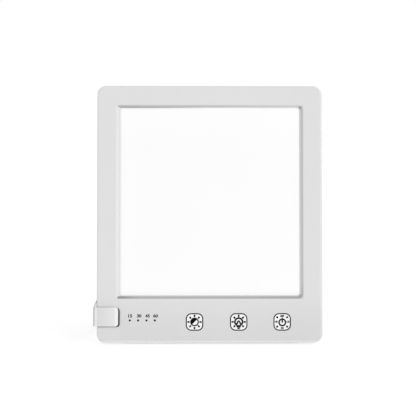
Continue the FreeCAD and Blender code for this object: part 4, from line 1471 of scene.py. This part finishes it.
@dataclass
class Controls(Assembly):
    """The board behind the chin, and all that is printed on the face in front of it."""

    finishes: Finishes = (
        ("control_board", BOARD),
        ("board_parts", PARTS),
        ("board_screw", SCREW_ZINC),
        ("touch_pads", FOAM),
        ("timer_lenses", LENS),
        ("timer_leds", CHIP),
        ("power_inlet", INLET),
    )
    ink_proud: float = 0.03 * MM
    field_proud: float = 0.015 * MM
    ink_sunk: float = 0.01 * MM
    key_level: float = 18.7 * MM
    key_places: Span = (-13.5 * MM, 25.65 * MM, 64.2 * MM)
    key_side: float = 15.5 * MM
    key_corner: float = 4.9 * MM
    key_line: float = 1.0 * MM
    timer_words: tuple[str, ...] = ("15", "30", "45", "60")
    timer_places: Span = (-70.4 * MM, -62.5 * MM, -55.1 * MM, -48.0 * MM)
    timer_widths: Span = (3.5 * MM, 4.0 * MM, 4.0 * MM, 4.2 * MM)
    timer_level: float = 24.1 * MM
    timer_height: float = 2.85 * MM
    light_start: float = -70.8 * MM
    light_pitch: float = 7.4 * MM
    light_level: float = 20.1 * MM
    light_ring: float = 0.95 * MM
    light_hole: float = 0.5 * MM
    ray_size: Span = (2.15 * MM, 1.6 * MM, 0.65 * MM)
    ray_reach: float = 5.35 * MM
    sun_radius: float = 3.85 * MM
    sun_line: float = 1.1 * MM
    glass_radius: float = 4.15 * MM
    glass_line: float = 1.5 * MM
    glass_foot: float = 2.6 * MM
    filament_radius: float = 1.7 * MM
    filament_line: float = 1.3 * MM
    filament_drop: float = 0.3 * MM
    filament_leg: Span = (3.3 * MM, 1.45 * MM, 0.2 * MM)
    leg_place: tuple[float, float] = (1.7 * MM, -1.6 * MM)
    leg_turn: float = math.radians(-54)
    cap: Span = (5.0 * MM, 3.5 * MM, -2.7 * MM, -4.7 * MM)
    cap_tip: Span = (3.2 * MM, 1.7 * MM, -4.85 * MM, -6.25 * MM)
    power_radius: float = 3.55 * MM
    power_line: float = 1.38 * MM
    power_gap: float = math.radians(12)
    power_place: tuple[float, float] = (0.1 * MM, -0.45 * MM)
    power_bar: Span = (1.0 * MM, 1.4 * MM, 4.1 * MM, -0.75 * MM)
    dot_size: Span = (1.95 * MM, 1.6 * MM, 0.6 * MM)
    dot_reach: float = 6.05 * MM
    figure_weight: float = 0.07
    key_times: tuple[tuple[str, float, float, float, float], ...] = (
        ("60", 0.0, 5.3 * MM, 3.6 * MM, 2.0 * MM),
        ("15", 5.3 * MM, 0.15 * MM, 2.5 * MM, 1.9 * MM),
        ("30", 0.1 * MM, -5.4 * MM, 2.9 * MM, 1.7 * MM),
        ("45", -5.2 * MM, 0.15 * MM, 2.5 * MM, 1.9 * MM),
    )

    def print_on(
        self,
        name: str,
        shapes: list[Piece],
        spot: tuple[float, float],
        finish: Finish,
        slot: Slot = Slot.LENS,
    ) -> None:
        """Gives flat shapes the thickness of ink and prints them on the face.

        Args:
            name: the name of the print.
            shapes: the flat shapes, round the origin.
            spot: where their origin comes, across and in height.
            finish: the ink.
            slot: its material slot, which is the shell's for the pale fields under the rest.
        """
        proud = self.field_proud if slot is Slot.SHELL else self.ink_proud
        piece = joined(name, shapes)
        with editing(piece):
            bpy.ops.mesh.normals_make_consistent(inside=False)
        if piece.data.polygons[0].normal.z < 0:
            with editing(piece):
                bpy.ops.mesh.flip_normals()
        wall = piece.modifiers.new("ink", "SOLIDIFY")
        wall.thickness, wall.offset, wall.use_even_offset = self.ink_sunk + proud, -1.0, False
        apply_all(piece)
        settle(piece, self.dresser.panel.seat(*spot) @ Matrix.Translation((0, 0, proud)))
        self.dresser.add(piece, finish, slot)

    def rays(self, *angles: int) -> list[Piece]:
        """Cuts a short ray at each angle."""
        return Flat.around(Flat.block(*self.ray_size), self.ray_reach, angles)

    def sun(self) -> tuple[list[Piece], list[Piece]]:
        """Draws the brightness symbol: a disc half filled, among eight rays.

        Returns:
            The black shapes and the grey ones.
        """
        half = Flat.cut(Flat.disc(self.sun_radius), (1.0, -1.0))
        rim = Flat.cut(Flat.ring(self.sun_radius, self.sun_line), (-1.0, 1.0))
        return [half, *self.rays(0, 45, 90, 135, 180, 225, 270, 315)], [rim]

    def bulb(self) -> list[Piece]:
        """Draws the colour tone symbol: a bulb with its filament and cap, among seven rays.

        Returns:
            The black shapes.
        """
        glass = Flat.ring(self.glass_radius, self.glass_line)
        Flat.cut(glass, (0.0, -1.0), self.glass_foot)
        crown = Flat.cut(Flat.ring(self.filament_radius, self.filament_line, 24), (0.0, -1.0))
        shapes = [glass, Flat.shift(crown, 0.0, -self.filament_drop)]
        aside, level = self.leg_place
        for side in (-1, 1):
            leg = Flat.block(*self.filament_leg)
            shapes.append(Flat.shift(leg, side * aside, level, side * self.leg_turn))
        shapes += [Flat.taper(*self.cap), Flat.taper(*self.cap_tip)]
        return shapes + self.rays(0, 45, 90, 135, 180, 225, 315)

    def power(self) -> tuple[list[Piece], list[Piece]]:
        """Draws the power and timer symbol: a stroke in an open ring, four dots and four times.

        Returns:
            The black shapes and the small grey figures.
        """
        aside, level = self.power_place
        ring = Flat.opened(Flat.ring(self.power_radius, self.power_line, 60), self.power_gap)
        Flat.shift(ring, aside, level)
        bar = Flat.shift(Flat.taper(*self.power_bar), aside, 0.0)
        dots = Flat.around(Flat.block(*self.dot_size), self.dot_reach, (43, 137, 223, 317))
        figures = [
            Flat.shift(Flat.word(text, high, width, self.figure_weight), x, y)
            for text, x, y, width, high in self.key_times
        ]
        return [ring, bar, *dots], figures

    def build(self) -> None:
        """Prints the timer's figures and lights, the three keys and their symbols."""
        for text, across, width in zip(self.timer_words, self.timer_places, self.timer_widths):
            word, spot = Flat.word(text, self.timer_height, width), (across, self.timer_level)
            self.print_on(f"timer_figures_{text}", [word], spot, DARK_INK)
        for number in range(len(self.timer_words)):
            ring = Flat.ring(self.light_ring, self.light_ring - self.light_hole, 32)
            spot = (self.light_start + number * self.light_pitch, self.light_level)
            self.print_on(f"timer_light_ring_{number + 1}", [ring], spot, BLACK_INK)
        for name, across in zip(("brightness", "tone", "power"), self.key_places):
            spot = (across, self.key_level)
            square, line = (
                Flat.block(self.key_side, self.key_side, self.key_corner) for _ in range(2)
            )
            self.print_on(f"{name}_key_field", [square], spot, FIELD_INK, Slot.SHELL)
            outline = Flat.hollow(line, self.key_line)
            self.print_on(f"{name}_key_outline", [outline], spot, LINE_INK)
        sun, rim = self.sun()
        bulb = self.bulb()
        power, times = self.power()
        left, middle, right = self.key_places
        for name, shapes, across, finish in (
            ("brightness_symbol", sun, left, BLACK_INK),
            ("brightness_symbol_rim", rim, left, LINE_INK),
            ("tone_symbol", bulb, middle, BLACK_INK),
            ("power_symbol", power, right, BLACK_INK),
            ("power_key_figures", times, right, SMALL_INK),
        ):
            self.print_on(name, shapes, (across, self.key_level), finish)


@dataclass
class Stand(Assembly):
    """The clip on the left edge, its leg and their rubber."""

    finishes: Finishes = (
        ("stand_clip", CLIP),
        ("stand_leg", LEG),
        ("hinge_pin", PIN_STEEL),
        ("front_grip_pad", GRIP_RUBBER),
        ("rear_grip_pad", GRIP_RUBBER),
        ("leg_foot_pad", FOOT_RUBBER),
    )


# ---------------------------------------------------------------- the studio


@dataclass(frozen=True)
class SoftLight:
    """One soft light, placed by the way that it lies from the lamp."""

    name: str
    turn: float
    rise: float
    level: float
    side: float = 4.6
    distance: float = 14.0

    def hang(self, target: Vector) -> None:
        """Hangs the light so that it faces the lamp and lights a facing surface at its level.

        Args:
            target: the point that it faces.
        """
        clear_selection()
        turn, rise = math.radians(self.turn), math.radians(self.rise)
        level_way = Vector((math.sin(turn), -math.cos(turn), 0.0)) * math.cos(rise)
        way = level_way + Vector((0.0, 0.0, math.sin(rise)))
        bpy.ops.object.light_add(type="AREA", location=target + way * self.distance)
        lamp = bpy.context.object
        lamp.name = self.name
        lamp.data.shape = "RECTANGLE"
        lamp.data.size = lamp.data.size_y = self.side
        lamp.data.energy = self.level * (math.pi * self.distance) ** 2
        lamp.rotation_euler = way.to_track_quat("Z", "Y").to_euler()
        lamp.visible_camera = False


@dataclass
class Studio:
    """Pale floor, white surroundings, soft lights and the camera."""

    panel: Panel
    ambient: float = 0.6
    lights: tuple[SoftLight, ...] = (
        SoftLight("key_right", 35.0, 8.0, 0.385),
        SoftLight("fill_behind", 155.0, 6.0, 0.25),
    )
    light_aim: float = 0.12
    floor_radius: float = 4.0
    floor_drop: float = 0.1 * MM
    floor_tone: float = 0.9
    floor_seen: float = 0.42
    floor_lift: float = 0.733
    floor_glow: float = 0.235
    camera_distance: float = 1.2
    aim_across: float = -1.56 * MM
    aim_height: float = 119.68 * MM
    yaw: float = math.radians(0.99)
    drop: float = math.radians(4.07)
    focal: float = 116.93
    sensor: float = 36.0
    clip_range: tuple[float, float] = (0.01, 20.0)

    @staticmethod
    def seen(graph: Graph) -> Value:
        """Tells rays that show the surroundings: from the camera, off gloss, through glass.

        Args:
            graph: the node tree that asks.

        Returns:
            1 for those rays and 0 for the rest.
        """
        path = graph.node("LightPath")
        kinds = ("Is Camera Ray", "Is Glossy Ray", "Is Transmission Ray")
        return graph.most(*(Value(graph, path.outputs[kind]) for kind in kinds))

    def surroundings(self) -> None:
        """Lights from all round at a low level, and shows white."""
        world = bpy.data.worlds.new("studio_surroundings")
        bpy.context.scene.world = world
        world.use_nodes = True
        graph = Graph(world.node_tree)
        dim, white = (
            graph.node("Background", sockets={"Color": (1, 1, 1, 1), "Strength": level}).outputs[0]
            for level in (self.ambient, 1.0)
        )
        both = graph.node("MixShader", sockets={0: self.seen(graph), 1: dim, 2: white})
        graph.node("OutputWorld", sockets={"Surface": both.outputs[0]})

    def floor(self) -> None:
        """Lays a wide pale floor that keeps the lamp's shadow."""
        clear_selection()
        bpy.ops.mesh.primitive_circle_add(
            vertices=96,
            radius=self.floor_radius,
            fill_type="NGON",
            location=(0, 0, -self.floor_drop),
        )
        sheet = named(bpy.context.object, "studio_floor")
        bpy.ops.object.transform_apply(location=True)
        recipe = Recipe("studio_paper")
        fibres = recipe.noise(3 * MM, 3.0)
        seen = self.seen(recipe)
        tone = self.floor_tone - seen * (self.floor_tone - self.floor_seen)
        glow = seen * (1.0 - self.floor_glow) + self.floor_glow
        paper = recipe.surface(
            Base_Color=recipe.scaled(grey(1.0), tone * (fibres * 0.02 + 1.0)),
            Roughness=0.9,
            Specular_IOR_Level=0.0,
            Emission_Color=recipe.scaled(grey(1.0), glow),
            Emission_Strength=self.floor_lift,
        )
        sheet.data.materials.append(paper)

    def camera(self) -> None:
        """Sets the camera in front, a little above, square to the lean of the housing."""
        clear_selection()
        aim = self.panel.point(self.aim_across, self.aim_height)
        level_way = Vector((0.0, math.cos(self.drop), -math.sin(self.drop))) * math.cos(self.yaw)
        ahead = (level_way + Vector((math.sin(self.yaw), 0.0, 0.0))).normalized()
        up_face = Vector((0, math.sin(self.panel.lean), math.cos(self.panel.lean)))
        right = ahead.cross(up_face).normalized()
        turn = Matrix((right, right.cross(ahead), -ahead)).transposed().to_4x4()
        bpy.ops.object.camera_add()
        camera = bpy.context.object
        camera.name = "studio_camera"
        camera.matrix_world = Matrix.Translation(aim - ahead * self.camera_distance) @ turn
        camera.data.lens, camera.data.sensor_width = self.focal, self.sensor
        camera.data.clip_start, camera.data.clip_end = self.clip_range
        bpy.context.scene.camera = camera

    def build(self) -> None:
        """Sets up the camera, the floor and the light."""
        self.camera()
        self.surroundings()
        self.floor()
        for light in self.lights:
            light.hang(self.panel.point(0.0, self.light_aim))
        bpy.context.scene.view_settings.view_transform = "Standard"


def main() -> None:
    """Loads the frame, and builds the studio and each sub-assembly."""
    logging.basicConfig(level=logging.INFO, format="%(name)s %(message)s")
    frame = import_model()
    panel = Panel.measured()
    LOG.info("face starts at %.3f, %.3f mm", panel.start.y / MM, panel.start.z / MM)
    Studio(panel).build()
    dresser = Dresser(panel, frame["nodes"])
    for part in (Housing(dresser), LightStack(dresser), Controls(dresser), Stand(dresser)):
        part.dress()
        part.build()
        LOG.info("finished %s", type(part).__name__)
    clear_selection()


if __name__ == "__main__":
    main()
